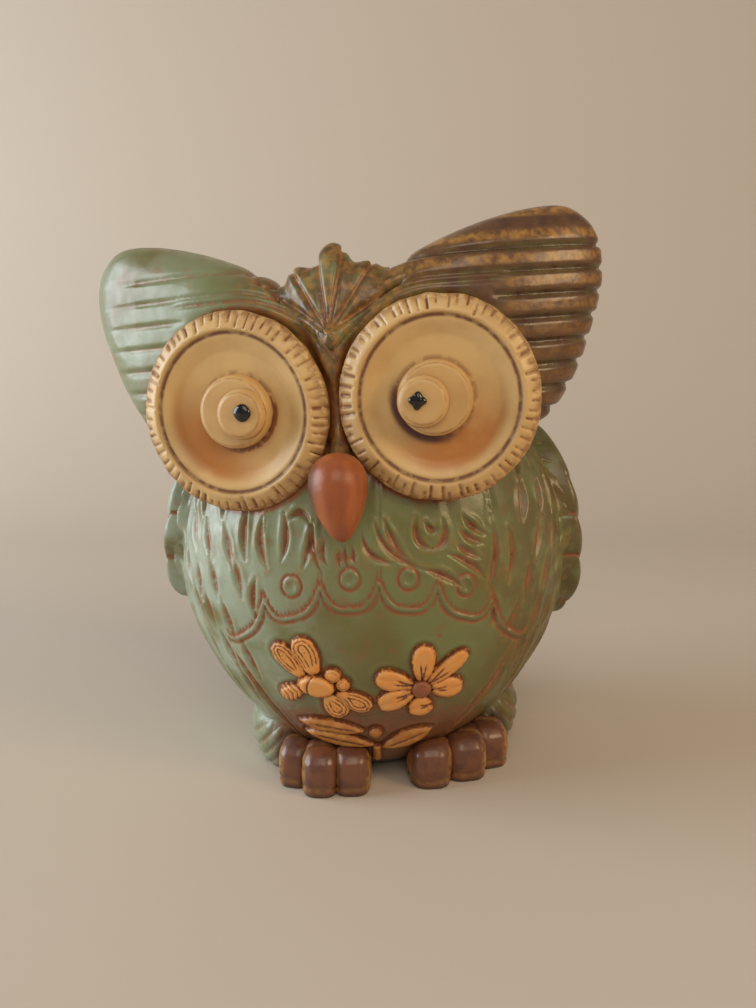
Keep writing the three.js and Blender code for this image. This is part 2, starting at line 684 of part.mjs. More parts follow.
addSprig('stem', (grow) => barOutline(STEM, grow), { x: STEM.x, z: 0, proud: STEM.proud, look: LOOKS.leaf });
LEAVES.forEach((leaf, index) => {
  addSprig(`leaf_${index + 1}`, (grow) => leafOutline(leaf, grow), {
    ...leaf, proud: LEAF_PROUD, look: LOOKS.leaf,
  });
});

// ---------------------------------------------------------------- origin

// The whole figurine stands on z = 0, centred on the origin.
owl.updateMatrixWorld(true);
const middle = new THREE.Box3().setFromObject(owl, true).getCenter(new THREE.Vector3());
owl.position.set(-middle.x, -middle.y, 0);
owl.updateMatrixWorld(true);

export default owl;
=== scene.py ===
import json
import math

import bmesh
import bpy
import numpy as np
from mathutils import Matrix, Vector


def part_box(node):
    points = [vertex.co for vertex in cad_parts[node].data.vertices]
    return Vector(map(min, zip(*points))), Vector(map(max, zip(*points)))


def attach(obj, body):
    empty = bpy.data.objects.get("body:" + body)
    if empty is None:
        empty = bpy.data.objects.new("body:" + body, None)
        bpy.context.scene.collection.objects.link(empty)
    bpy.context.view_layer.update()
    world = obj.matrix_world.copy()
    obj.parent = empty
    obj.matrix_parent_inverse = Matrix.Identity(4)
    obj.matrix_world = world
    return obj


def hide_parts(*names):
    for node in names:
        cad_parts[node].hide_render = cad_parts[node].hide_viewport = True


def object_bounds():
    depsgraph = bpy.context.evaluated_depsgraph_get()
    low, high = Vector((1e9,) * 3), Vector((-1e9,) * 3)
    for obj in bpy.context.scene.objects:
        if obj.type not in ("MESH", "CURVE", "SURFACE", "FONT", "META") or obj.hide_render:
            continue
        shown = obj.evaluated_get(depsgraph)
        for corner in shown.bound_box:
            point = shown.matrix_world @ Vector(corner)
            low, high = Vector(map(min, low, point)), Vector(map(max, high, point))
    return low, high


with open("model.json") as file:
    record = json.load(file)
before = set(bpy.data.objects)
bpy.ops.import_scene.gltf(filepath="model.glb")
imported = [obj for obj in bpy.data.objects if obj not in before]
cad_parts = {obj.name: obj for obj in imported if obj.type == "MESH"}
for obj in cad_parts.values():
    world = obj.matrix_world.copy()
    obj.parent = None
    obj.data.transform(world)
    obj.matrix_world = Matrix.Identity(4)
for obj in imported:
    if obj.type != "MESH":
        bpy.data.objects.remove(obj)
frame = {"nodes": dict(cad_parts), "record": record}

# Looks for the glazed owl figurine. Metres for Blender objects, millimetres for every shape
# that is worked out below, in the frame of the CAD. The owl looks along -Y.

import openvdb
from mathutils import Vector

CAD_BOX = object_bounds()
MM = 0.001
SEED = 7

# ---------------------------------------------------------------- sizes, in millimetres

VOXEL = 1.25            # spacing of the grid that holds the glazed form
BAND = 6.0              # distances are kept this far from a surface
FAR = 60.0              # stands for any distance outside a node's own grid
WALL = 5.0              # slip-cast wall
POUR_RADIUS = 13        # the pour hole in the floor
POUR_TOP = 40           # level where the cut of the pour hole ends, well inside the body
NECK_RADIUS = 30        # the passage from the body into the head
SHELL_SOFTNESS = 4.5    # rounding that takes the facets off the two big shells
LUMP_SOFTNESS = 2.4     # the same for the haunches and the tail
HEAD_SOFTNESS = 1.9     # rounding of the ears, crest and bridge
WING_SOFTNESS = 1.5     # rounding of the wings' outlines
DISH_SOFTNESS = 0.8     # rounding of the beds of the dishes
DISH_GAP = 0.2          # clearance of a dish in its bed
GLAZE_SOFTNESS = 0.9    # glaze that fills every corner
SHARE_SOFTNESS = 0.8    # rounding of the seams between two pieces
HOLLOW_SOFTNESS = 2.6   # blur that tells hollows, where the stain gathers and shade is painted, from open surface
HAUNCH_PLUMPNESS = 2.5  # makes up for what the softening takes off the haunches
CREST_PLUMPNESS = 2.1   # makes up for what the softening takes off the crest's lobes
SEAM_REACH = 2.5        # how far a glazed piece runs on under its neighbour
SEAM_SINK = 0.35        # how steeply it sinks there
SEAM_EASE = 1.5         # and how gradually it starts to
PIECE_MARGIN = 4        # how far past its CAD node a glazed piece may reach
BLUR_REACH = 2.6        # standard deviations that a blur takes in

# ---------------------------------------------------------------- CAD meshes and distance fields


def node_mesh(name):
    """Points in millimetres and triangles of a CAD node."""
    data = frame["nodes"][name].data
    data.calc_loop_triangles()
    points = np.empty(len(data.vertices) * 3, np.float32)
    triangles = np.empty(len(data.loop_triangles) * 3, np.int32)
    data.vertices.foreach_get("co", points)
    data.loop_triangles.foreach_get("vertices", triangles)
    return points.reshape(-1, 3) / MM, triangles.reshape(-1, 3)


def hull_mesh(points):
    """Points and triangles of the convex hull of some points."""
    shape = bmesh.new()
    for point in np.unique(points.round(3), axis=0):
        shape.verts.new(point)
    bmesh.ops.convex_hull(shape, input=shape.verts)
    bmesh.ops.triangulate(shape, faces=shape.faces)
    shape.verts.index_update()
    corners = np.array([vertex.co for vertex in shape.verts], np.float32)
    triangles = np.array([[vertex.index for vertex in face.verts] for face in shape.faces])
    shape.free()
    return corners, triangles


def node_corner(name):
    return np.array(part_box(name)[0]) / MM


def node_top_corner(name):
    return np.array(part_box(name)[1]) / MM


def node_middle(name):
    return (node_corner(name) + node_top_corner(name)) / 2


class Field:
    """Signed distances on a regular grid, in millimetres and negative inside."""

    def __init__(self, start, voxel, values):
        self.start = np.array(start, int)
        self.voxel = voxel
        self.values = values

    def grid_points(self):
        axes = [
            (np.arange(count) + first) * self.voxel
            for count, first in zip(self.values.shape, self.start)
        ]
        return np.stack(np.meshgrid(*axes, indexing="ij"), axis=-1)

    def blurred(self, reach):
        """Gaussian blur with a standard deviation of `reach` millimetres."""
        spread = reach / self.voxel
        taps = int(math.ceil(BLUR_REACH * spread))
        weights = np.exp(-0.5 * (np.arange(-taps, taps + 1) / spread) ** 2)
        weights = (weights / weights.sum()).astype(np.float32)
        values = self.values
        for axis in range(3):
            width = [(0, 0)] * 3
            width[axis] = (taps, taps)
            padded = np.pad(values, width, mode="edge")
            count = values.shape[axis]
            total = np.zeros_like(values)
            for tap, weight in enumerate(weights):
                window = [slice(None)] * 3
                window[axis] = slice(tap, tap + count)
                total += weight * padded[tuple(window)]
            values = total
        return Field(self.start, self.voxel, values)

    def sample(self, points):
        """Trilinear value at each point."""
        place = points / self.voxel - self.start
        top = np.array(self.values.shape) - 1.001
        place = np.clip(place, 0, top)
        cell = place.astype(int)
        part = (place - cell).astype(np.float32)
        total = 0
        for corner in np.ndindex(2, 2, 2):
            weight = np.prod(np.where(corner, part, 1 - part), axis=-1)
            total = total + weight * self.values[tuple((cell + corner).T)]
        return total

    def slope(self, points):
        """Gradient at each point."""
        step = 0.6 * self.voxel
        parts = []
        for axis in np.eye(3):
            ahead = self.sample(points + step * axis)
            behind = self.sample(points - step * axis)
            parts.append((ahead - behind) / (2 * step))
        return np.stack(parts, axis=-1)

    def outward(self, points):
        slope = self.slope(points)
        return slope / np.maximum(np.linalg.norm(slope, axis=-1, keepdims=True), 1e-6)

    def settle(self, points, rounds=2):
        """Moves points that are near the surface onto it."""
        for _ in range(rounds):
            slope = self.slope(points)
            steepness = np.maximum((slope**2).sum(axis=-1, keepdims=True), 0.2)
            step = slope * self.sample(points)[:, None] / steepness
            points = points - np.clip(step, -self.voxel, self.voxel)
        return points

    def cropped(self, low, high):
        """The part of the grid between two corners in millimetres."""
        first = np.maximum(np.floor(low / self.voxel).astype(int) - self.start, 0)
        last = np.ceil(high / self.voxel).astype(int) - self.start + 1
        last = np.minimum(last, self.values.shape)
        window = tuple(slice(a, b) for a, b in zip(first, last))
        return Field(self.start + first, self.voxel, self.values[window])

    def surface(self, every=1):
        """Points and triangles of the surface, from every nth grid point."""
        values = np.ascontiguousarray(self.values[::every, ::every, ::every])
        voxel = self.voxel * every
        grid = openvdb.FloatGrid(BAND)
        grid.copyFromArray(values)
        grid.transform = openvdb.createLinearTransform(voxelSize=voxel)
        points, quads = grid.convertToQuads(isovalue=0)
        points = points + self.start * self.voxel
        triangles = np.concatenate([quads[:, [0, 1, 2]], quads[:, [0, 2, 3]]])
        a, b, c = (points[triangles[:, corner]] for corner in range(3))
        if np.einsum("ij,ij->i", a, np.cross(b, c)).sum() < 0:
            triangles = triangles[:, ::-1]
        return points, triangles


def mesh_field(points, triangles, voxel, band, low=None, high=None):
    """Signed distances to a closed mesh, on a grid that reaches `band` past it."""
    low = points.min(axis=0) if low is None else low
    high = points.max(axis=0) if high is None else high
    start = np.floor((low - band) / voxel).astype(int)
    shape = np.ceil((high + band) / voxel).astype(int) - start + 1
    grid = openvdb.FloatGrid.createLevelSetFromPolygons(
        points.astype(np.float32),
        triangles=triangles.astype(np.uint32),
        transform=openvdb.createLinearTransform(voxelSize=voxel),
        halfWidth=band / voxel,
    )
    values = np.full(shape, band, np.float32)
    grid.copyToArray(values, ijk=tuple(int(number) for number in start))
    return Field(start, voxel, values)


def node_field(name, softness, hull=False, voxel=VOXEL):
    points, triangles = node_mesh(name)
    if hull:
        points, triangles = hull_mesh(points)
    field = mesh_field(points, triangles, voxel, max(BAND, 3 * softness))
    return field.blurred(softness) if softness else field


# ---------------------------------------------------------------- the glazed form

# Everything under the green and brown glaze is worked out as one softened form, so that the
# glaze fills its corners, and then cut into one piece for each CAD node.

HEAD_PARTS = ("ear_left", "ear_right", "crest_middle", "crest_left", "crest_right", "bridge")
LUMPS = ("haunch_left", "haunch_right", "tail")
WINGS = ("wing_left", "wing_right")
GLAZED = ("body_shell", "head_shell") + HEAD_PARTS + LUMPS + WINGS
UPPER = HEAD_PARTS + ("head_shell",)
EYES = ("left", "right")


def opening_middle(name):
    openings = {opening["name"]: opening for opening in frame["record"]["physics"]["openings"]}
    return np.array(openings[name]["box_m"]).mean(axis=0) / MM


def whole_grid():
    """An empty grid round the whole figurine."""
    low = np.array(CAD_BOX[0]) / MM - BAND
    high = np.array(CAD_BOX[1]) / MM + BAND
    start = np.floor(low / VOXEL).astype(int)
    shape = np.ceil(high / VOXEL).astype(int) - start + 1
    return Field(start, VOXEL, np.full(shape, FAR, np.float32))


def spread(field, target):
    """A field's values on the whole grid."""
    values = np.full(target.values.shape, FAR, np.float32)
    offset = field.start - target.start
    first = np.maximum(offset, 0)
    last = np.minimum(offset + field.values.shape, target.values.shape)
    inside = tuple(slice(a, b) for a, b in zip(first, last))
    taken = tuple(slice(a, b) for a, b in zip(first - offset, last - offset))
    values[inside] = field.values[taken]
    return values


def upright_hole(points, middle, radius):
    """Distance to an upright round hole."""
    return np.hypot(points[..., 0] - middle[0], points[..., 1] - middle[1]) - radius


def side_outline(field):
    """Distance in side view to the outline of a flat piece, for every y and z of its grid."""
    return field.values.min(axis=0)


def shell_distances(body, head, points):
    """The walls of the two hollow shells, with the pour hole and the neck passage cut out."""
    pour = upright_hole(points, opening_middle("pour_hole"), POUR_RADIUS)
    pour = np.maximum(pour, points[..., 2] - POUR_TOP)
    neck = upright_hole(points, opening_middle("neck_passage"), NECK_RADIUS)
    neck = np.maximum(neck, opening_middle("body_cavity")[2] - points[..., 2])
    return {
        "body_shell": np.maximum.reduce([body, -(body + WALL), -pour, -neck]),
        "head_shell": np.maximum.reduce([head, -(head + WALL), -body]),
    }


def wing_distance(name, points, body):
    """A wing's outline in side view, laid on the body as thick as the CAD wing stands proud."""
    wing = node_field(name, 0)
    outline = Field(wing.start, VOXEL, np.broadcast_to(side_outline(wing), wing.values.shape))
    outline = spread(outline.blurred(WING_SOFTNESS), body)
    side = 1 if name == "wing_left" else -1
    outline[(points[..., 0] - opening_middle("pour_hole")[0]) * side < 0] = FAR
    thickness = np.percentile(body.sample(node_mesh(name)[0]), 97)
    return np.maximum.reduce([body.values - thickness, outline, -body.values])


def glazed_distances():
    """The distance to each glazed node on the whole grid, and that to the solid body."""
    grid = whole_grid()
    points = grid.grid_points()
    body = spread(node_field("body_shell", SHELL_SOFTNESS, hull=True), grid)
    body = Field(grid.start, VOXEL, np.maximum(body, -points[..., 2]))
    head = spread(node_field("head_shell", SHELL_SOFTNESS, hull=True), grid)
    distances = shell_distances(body.values, head, points)
    for name in HEAD_PARTS:
        is_crest = name.startswith("crest")
        distances[name] = spread(node_field(name, 0, hull=is_crest), grid)
        if is_crest:
            distances[name] -= CREST_PLUMPNESS
    for name in LUMPS:
        distances[name] = spread(node_field(name, LUMP_SOFTNESS, hull=True), grid)
        if name != "tail":
            distances[name] -= HAUNCH_PLUMPNESS
    for name in WINGS:
        distances[name] = wing_distance(name, points, body)
    return distances, body, points


def node_shares(distances, start):
    """For each node, how much nearer it is than every other: negative where it is the nearest."""
    nearest = np.full(distances["body_shell"].shape, FAR, np.float32)
    second = nearest.copy()
    for name in GLAZED:
        second = np.minimum(second, np.maximum(nearest, distances[name]))
        nearest = np.minimum(nearest, distances[name])
    shares = {}
    for name in GLAZED:
        others = np.where(distances[name] <= nearest, second, nearest)
        share = Field(start, VOXEL, (distances[name] - others) / 2)
        shares[name] = share.blurred(SHARE_SOFTNESS)
    return shares


def glazed_form():
    """The whole softened form, each node's share of it, and the distance to the solid body."""
    distances, body, points = glazed_distances()
    upper = np.minimum.reduce([distances[name] for name in UPPER])
    upper = Field(body.start, VOXEL, upper).blurred(HEAD_SOFTNESS).values
    rest = [distances[name] for name in GLAZED if name not in UPPER]
    whole = np.minimum.reduce([upper] + rest)
    whole = Field(body.start, VOXEL, whole).blurred(GLAZE_SOFTNESS)
    for side in EYES:
        dish = spread(node_field(f"eye_dish_{side}", DISH_SOFTNESS, hull=True), whole)
        whole.values = np.maximum(whole.values, DISH_GAP - dish)
    whole.values = np.maximum(whole.values, -points[..., 2])
    return whole, node_shares(distances, body.start), body


def glazed_piece_field(whole, share):
    """One node's share of the form. It sinks under its neighbours a little past the seam."""
    past = np.maximum(share.values, 0)
    sunk = whole.values + SEAM_SINK * past**2 / (past + SEAM_EASE)
    return Field(whole.start, whole.voxel, np.maximum(sunk, share.values - SEAM_REACH))


# ---------------------------------------------------------------- what lies on the body

SPRIG_NODES = [
    name
    for name in sorted(frame["nodes"])
    if name.startswith(("flower", "dragonfly", "leaf", "stem"))
]
TOE_NODES = [name for name in sorted(frame["nodes"]) if name.startswith("toe")]


def nodes_field(names):
    """The distance to the nearest of several small nodes."""
    grid = whole_grid()
    distances = [spread(node_field(name, 0), grid) for name in names]
    return Field(grid.start, VOXEL, np.minimum.reduce(distances))


TOES_FIELD = nodes_field(TOE_NODES)
SPRIGS_FIELD = nodes_field(SPRIG_NODES)

# ---------------------------------------------------------------- meshes

# How a triangle is split: corners 0 to 2, then the middles of edges 01, 12 and 20.
SPLITS = {
    (False, False, False): ((0, 1, 2),),
    (True, False, False): ((0, 3, 2), (3, 1, 2)),
    (False, True, False): ((0, 1, 4), (0, 4, 2)),
    (False, False, True): ((0, 1, 5), (5, 1, 2)),
    (True, True, False): ((3, 1, 4), (0, 3, 4), (0, 4, 2)),
    (False, True, True): ((4, 2, 5), (1, 4, 5), (1, 5, 0)),
    (True, False, True): ((5, 0, 3), (2, 5, 3), (2, 3, 1)),
    (True, True, True): ((0, 3, 5), (3, 1, 4), (5, 4, 2), (3, 4, 5)),
}


def split_edges(points, triangles, wanted):
    """Splits every edge that is longer than wanted(middle)."""
    edges = np.concatenate([triangles[:, [0, 1]], triangles[:, [1, 2]], triangles[:, [2, 0]]])
    edges = np.sort(edges, axis=1)
    unique, back = np.unique(edges, axis=0, return_inverse=True)
    middles = points[unique].mean(axis=1)
    lengths = np.linalg.norm(points[unique[:, 0]] - points[unique[:, 1]], axis=1)
    split = lengths > wanted(middles)
    numbers = np.where(split, np.cumsum(split) - 1 + len(points), -1)
    marks = numbers[back.reshape(-1)].reshape(3, -1).T
    corners = np.concatenate([triangles, marks], axis=1)
    parts = []
    for pattern, pieces in SPLITS.items():
        rows = corners[((marks >= 0) == pattern).all(axis=1)]
        parts.extend(rows[:, piece] for piece in pieces)
    return np.concatenate([points, middles[split]]), np.concatenate(parts)


def largest_part(points, triangles):
    """Leaves out loose crumbs."""
    label = np.arange(len(points))
    while True:
        low = label[triangles].min(axis=1)
        new = label.copy()
        for corner in range(3):
            np.minimum.at(new, triangles[:, corner], low)
        new = new[new]
        if (new == label).all():
            break
        label = new
    counts = np.bincount(label, minlength=len(points))
    keep = counts[label[triangles[:, 0]]] == counts.max()
    triangles = triangles[keep]
    used, back = np.unique(triangles, return_inverse=True)
    return points[used], back.reshape(-1, 3)


def add_mesh(name, points, triangles, material, attributes=None):
    """A smooth mesh object from points in millimetres, with float attributes on its points."""
    data = bpy.data.meshes.new(name)
    data.vertices.add(len(points))
    data.vertices.foreach_set("co", (points * MM).astype(np.float32).ravel())
    data.loops.add(triangles.size)
    data.loops.foreach_set("vertex_index", triangles.astype(np.int32).ravel())
    data.polygons.add(len(triangles))
    starts = np.arange(0, triangles.size, triangles.shape[1], dtype=np.int32)
    data.polygons.foreach_set("loop_start", starts)
    data.update(calc_edges=True)
    data.validate()
    for key, values in (attributes or {}).items():
        layer = data.attributes.new(key, "FLOAT", "POINT")
        layer.data.foreach_set("value", np.clip(values, 0, 1).astype(np.float32))
    data.shade_smooth()
    data.materials.append(material)
    piece = bpy.data.objects.new(name, data)
    bpy.context.scene.collection.objects.link(piece)
    return piece


def place_piece(piece, node):
    """Puts a piece on the root body in place of its CAD node."""
    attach(piece, "root")
    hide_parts(node)


# ---------------------------------------------------------------- relief on the glazed form


def bump(distance, width):
    """1 on a line and 0 away from it."""
    return np.exp(-((distance / width) ** 2))


def ramp(value, start, end):
    """0 before start and 1 after end, smooth between. Start may be the larger of the two."""
    part = np.clip((value - start) / (end - start), 0, 1)
    return part * part * (3 - 2 * part)


def fade(value, start, end):
    """1 before start and 0 after end, smooth between."""
    return 1 - ramp(value, start, end)


def off_lines(value, spacing):
    """Distance to the nearest of many evenly spaced lines."""
    return np.abs(value / spacing - np.round(value / spacing)) * spacing


def wave(value, length):
    """0 to 1 and back, once in each length."""
    return 0.5 + 0.5 * np.cos(2 * np.pi * value / length)


def curve_distance(points, ends, steps=10):
    """Distance to a curve of three control points, and the part of it at the nearest point."""
    start, middle, end = (np.array(point, float) for point in ends)
    best = np.full(len(points), np.inf)
    along = np.zeros(len(points))
    before = start
    for step in range(1, steps + 1):
        part = step / steps
        after = (1 - part) ** 2 * start + 2 * part * (1 - part) * middle + part**2 * end
        chord = after - before
        reach = np.clip((points - before) @ chord / (chord @ chord), 0, 1)
        distance = np.linalg.norm(points - before - reach[:, None] * chord, axis=1)
        nearer = distance < best
        best = np.where(nearer, distance, best)
        along = np.where(nearer, (step - 1 + reach) / steps, along)
        before = after
    return best, along


STAIN_SPREAD = 1.25  # how much wider a line of stain is than its groove


class Relief:
    """Grooves and ridges on some points: depth in millimetres, and stain and gold from 0 to 1."""

    def __init__(self, points):
        self.depth = np.zeros(len(points))
        self.stain = np.zeros(len(points))
        self.gold = np.zeros(len(points))

    def groove(self, distance, width, depth, stain=1.0, where=1.0):
        self.depth = self.depth + depth * bump(distance, width) * where
        self.stain = np.maximum(self.stain, stain * bump(distance, STAIN_SPREAD * width) * where)

    def add_stain(self, stain):
        self.stain = np.maximum(self.stain, stain)

    def pressed(self, points, outward, where=1.0):
        """The points, moved in by the depth of the relief but never below the floor."""
        moved = points - outward * (self.depth * where)[:, None]
        moved[:, 2] = np.maximum(moved[:, 2], 0)
        return moved

    def stroke(self, flat, ends, width, depth, stain=1.0):
        """A tapered groove with a raised lip on both sides."""
        low = np.min(ends, axis=0) - 6 * width
        high = np.max(ends, axis=0) + 6 * width
        near = np.nonzero(((flat > low) & (flat < high)).all(axis=1))[0]
        if len(near) == 0:
            return
        distance, along = curve_distance(flat[near], ends)
        taper = 0.35 + 0.65 * np.sin(np.pi * np.clip(along, 0.03, 0.97))
        line = bump(distance, width * taper)
        lip = bump(distance - 2.1 * width * taper, 0.9 * width)
        self.depth[near] += taper * (depth * line - 0.4 * depth * lip)
        spread = bump(distance, STAIN_SPREAD * width * taper)
        self.stain[near] = np.maximum(self.stain[near], stain * spread * taper)
        self.gold[near] = np.maximum(self.gold[near], 0.25 * lip)


BODY_AXIS = opening_middle("pour_hole")
BODY_AXIS[0] = node_middle("body_shell")[0]
BODY_RADIUS = (node_top_corner("body_shell")[0] - node_corner("body_shell")[0]) / 2


def unrolled(points):
    """Arc length round the body from its front, and height."""
    away = points - BODY_AXIS
    angle = np.arctan2(away[:, 0], -away[:, 1])
    return np.stack([angle * BODY_RADIUS, points[:, 2]], axis=1)


# The bib: a scalloped border with four buttons above it.
BIB_MIDDLE = 2.7  # arc length
BIB_LEVEL = 85
SCALLOP = 23.6  # width of one
SCALLOP_DROP = 9
BUTTON_RADIUS = 3.1
BIB_ENDS = 3  # scallops on each side
STITCH_LENGTH = 1.7
BUTTONS = (-1.5, -0.5, 0.5, 1.5)  # their places, in scallops from the middle


def bib_edge(across):
    """Height of the scalloped border at an arc length."""
    place = np.abs(across - BIB_MIDDLE) / SCALLOP
    part = 2 * np.abs(place - np.floor(place) - 0.5)
    level = BIB_LEVEL - 1.6 * place**2.35
    return level - SCALLOP_DROP * (1 - part**3.2)


def bib_relief(relief, flat):
    """Two lines and a ridge along the scalloped border, stitches over it and four buttons."""
    across, height = flat.T
    place = np.abs(across - BIB_MIDDLE) / SCALLOP
    inside = ramp(BIB_ENDS - place, 0, 0.12)
    step = 0.4
    slope = (bib_edge(across + step) - bib_edge(across - step)) / (2 * step)
    over = (height - bib_edge(across)) / np.sqrt(1 + slope**2)
    front = ramp(BODY_RADIUS - np.abs(across), -8, 8) * inside
    relief.groove(over + 1.0, width=0.8, depth=0.8, stain=0.8, where=front)
    relief.groove(over - 1.9, width=0.7, depth=0.7, stain=0.9, where=front)
    relief.depth -= 0.8 * bump(over - 0.4, 0.8) * front
    relief.depth -= 0.6 * ramp(over, 0, 1.2) * fade(over, 10, 30) * front
    stitches = front * wave(across, STITCH_LENGTH)
    relief.groove(over - 2.9, width=0.7, depth=0.4, stain=0.9, where=stitches)
    for index in BUTTONS:
        centre = BIB_MIDDLE + index * SCALLOP
        level = BIB_LEVEL + 3 - 1.7 * index**2
        away = np.hypot(across - centre, height - level)
        relief.groove(away - BUTTON_RADIUS - 1.0, width=0.75, depth=0.8, stain=0.9)
        relief.depth -= 0.8 * bump(away - BUTTON_RADIUS + 0.5, 0.8)
        relief.groove(away, width=1.4, depth=0.45, stain=0.35)


# Tufts of the chest as curves of three points: arc length and height, from left to right in view.
CHEST_TUFTS = (
    ((-37, 110), (-34, 100), (-37, 93)),
    ((-35, 107), (-30, 114), (-25, 106)),
    ((-25, 106), (-25, 98), (-28, 91)),
    ((-24, 108), (-26, 98), (-20, 89)),
    ((-19, 101), (-22, 96), (-18, 92)),
    ((-13, 98), (-14, 95), (-13, 92)),
    ((-11, 99), (-11, 95), (-10, 92)),
    ((-8, 99), (-8, 95), (-7, 93)),
    ((-4, 104), (-4, 95), (9, 93)),
    ((1, 107), (4, 96), (20, 91)),
    ((20, 91), (29, 89), (36, 84)),
    ((5, 108), (8, 99), (14, 95)),
    ((18, 109), (16, 99), (24, 98)),
    ((24, 98), (32, 99), (29, 108)),
    ((22, 107), (24, 103), (26, 106)),
    ((38, 109), (41, 104), (47, 102)),
    ((36, 104), (40, 100), (46, 99)),
    ((35, 99), (39, 95), (44, 94)),
    ((30, 96), (41, 93), (46, 86)),
    ((51, 105), (53, 93), (48, 83)),
    ((59, 103), (62, 93), (57, 83)),
    ((-46, 108), (-48, 98), (-43, 90)),
    ((-54, 112), (-56, 101), (-53, 92)),
    ((-48, 86), (-51, 79), (-49, 71)),
    ((50, 80), (53, 73), (50, 66)),
)


FEATHER_SPACING = 11.5
FEATHER_ROWS = 7
FEATHER_TOP = 128  # level of the middles of the top row
FEATHER_PITCH = 15
FEATHER_REACH = 7.5  # from the middle of a feather to its ends


def feather_rows(relief, flat):
    """Staggered slit feathers all round the sides and back, above the belly."""
    random = np.random.default_rng(SEED)
    count = int(2 * np.pi * BODY_RADIUS / FEATHER_SPACING)
    for row in range(FEATHER_ROWS):
        for column in range(count):
            jitter = random.normal(0, 1.2, 4)
            height = FEATHER_TOP - FEATHER_PITCH * row
            across = (column + 0.5 * (row % 2) - count / 2) * FEATHER_SPACING + jitter[0]
            side = np.sign(across - BIB_MIDDLE)
            front = abs(across - BIB_MIDDLE)
            on_chest = front < 57 + 0.1 * (height - 60)
            under_head = height + jitter[1] > 137
            over_tail = height < 50 and front > 110
            if on_chest or under_head or over_tail:
                continue
            lean = 2.5 * side * (1 if front < 100 else 0)
            top = (across + lean, height + FEATHER_REACH + jitter[1])
            middle = (across + 0.4 * jitter[2], height + jitter[1])
            bottom = (across - lean + 0.5 * jitter[3], height - FEATHER_REACH + jitter[1])
            relief.stroke(flat, (top, middle, bottom), width=1.5, depth=1.7, stain=0.8)


BELLY_PITS = ((8, 61), (28, 66), (4, 48))  # arc length and height
BELLY_CREASE = ((66, 58), (60, 40), (44, 17))  # on the owl's left, mirrored on its right


def belly_relief(relief, flat):
    """Small pits by the flower, and the long crease above each haunch."""
    for across, height in BELLY_PITS:
        away = np.hypot(flat[:, 0] - across, flat[:, 1] - height)
        relief.groove(away, width=0.9, depth=0.35, stain=0.8)
    for side in (-1, 1):
        ends = [(side * across, height) for across, height in BELLY_CREASE]
        relief.stroke(flat, ends, width=1.6, depth=1.3)


def body_relief(points):
    """All the relief of the body, and a fine line round what lies on it."""
    relief = Relief(points)
    flat = unrolled(points)
    sprigs = SPRIGS_FIELD.sample(points)
    relief.depth += 0.5 * bump(sprigs, 0.9) - 0.6 * bump(sprigs - 2.3, 0.9)
    bib_relief(relief, flat)
    for tuft in CHEST_TUFTS:
        relief.stroke(flat, tuft, width=1.2, depth=1.6)
    feather_rows(relief, flat)
    belly_relief(relief, flat)
    return relief


# ---------------------------------------------------------------- eyes' own frames


class EyeFrame:
    """Where one eye sits: its middle, and unit vectors to the side, up and out."""

    def __init__(self, side):
        knob = np.unique(node_mesh(f"eye_knob_{side}")[0].round(4), axis=0)
        self.out = np.linalg.svd(knob - knob.mean(axis=0))[2][self.short_axis(knob)]
        self.out *= -np.sign(self.out[1])
        dish = np.unique(node_mesh(f"eye_dish_{side}")[0].round(4), axis=0)
        height = dish @ self.out
        rim = dish[height > height.max() - 0.05]
        self.middle = rim.mean(axis=0)
        self.up = np.linalg.svd(rim - self.middle)[2][0]
        self.up *= np.sign(self.up[2])
        self.side = np.cross(self.out, self.up)
        self.side *= np.sign(self.side[0])

    @staticmethod
    def short_axis(points):
        """The index of the axis that the other two differ from most: a round knob's own axis."""
        sizes = np.linalg.svd(points - points.mean(axis=0), compute_uv=False)
        return 0 if sizes[0] - sizes[1] > sizes[1] - sizes[2] else 2

    def to_local(self, points):
        away = points - self.middle
        return np.stack([away @ self.side, away @ self.up, away @ self.out], axis=-1)

    def to_world(self, local):
        return self.middle + local @ np.array([self.side, self.up, self.out])


EYE_FRAMES = {side: EyeFrame(side) for side in EYES}

# ---------------------------------------------------------------- relief of the head

RIB_SPACING = 8.2
EAR_BAND = 52  # level above which the ears are smooth
BROW_LEVEL = 38.5  # of the line that follows the dishes, where the ribs start
EAR_START = (52, 62)  # the forehead passes into the ears between these distances from the middle
RIB_STRENGTHS = {"ear_right": 0.6}  # all others have 1
BROW_BLEND = 14  # the fine ribs fade in over this distance from an eye towards the beak
HEAD_FACE = node_middle("ear_left")[1] + 20  # the ribs end behind the ears
CREASE_ROOT = 24  # how far above the middles of the eyes the crest's creases start
CREASE_SPACING = 21  # degrees
BRIDGE_MIDDLE = node_middle("bridge")


def rib_lines(points):
    """Levels of the ribs, straight on the ears and round the dishes over the forehead.

    The second value says how much of the fine ribs shows between the wide ones.
    """
    values = np.zeros(len(points))
    inner = np.zeros(len(points))
    for side, sign in (("left", 1), ("right", -1)):
        eye = EYE_FRAMES[side]
        local = eye.to_local(points)
        towards_beak = np.maximum(0, -sign * local[:, 0])
        ring = np.hypot(towards_beak, local[:, 1])
        ring = np.where(local[:, 1] < 0, local[:, 1], ring)
        mine = (points[:, 0] - BRIDGE_MIDDLE[0]) * sign > 0
        values = np.where(mine, ring, values)
        inner = np.where(mine, ramp(towards_beak, 0, BROW_BLEND), inner)
    return values, inner


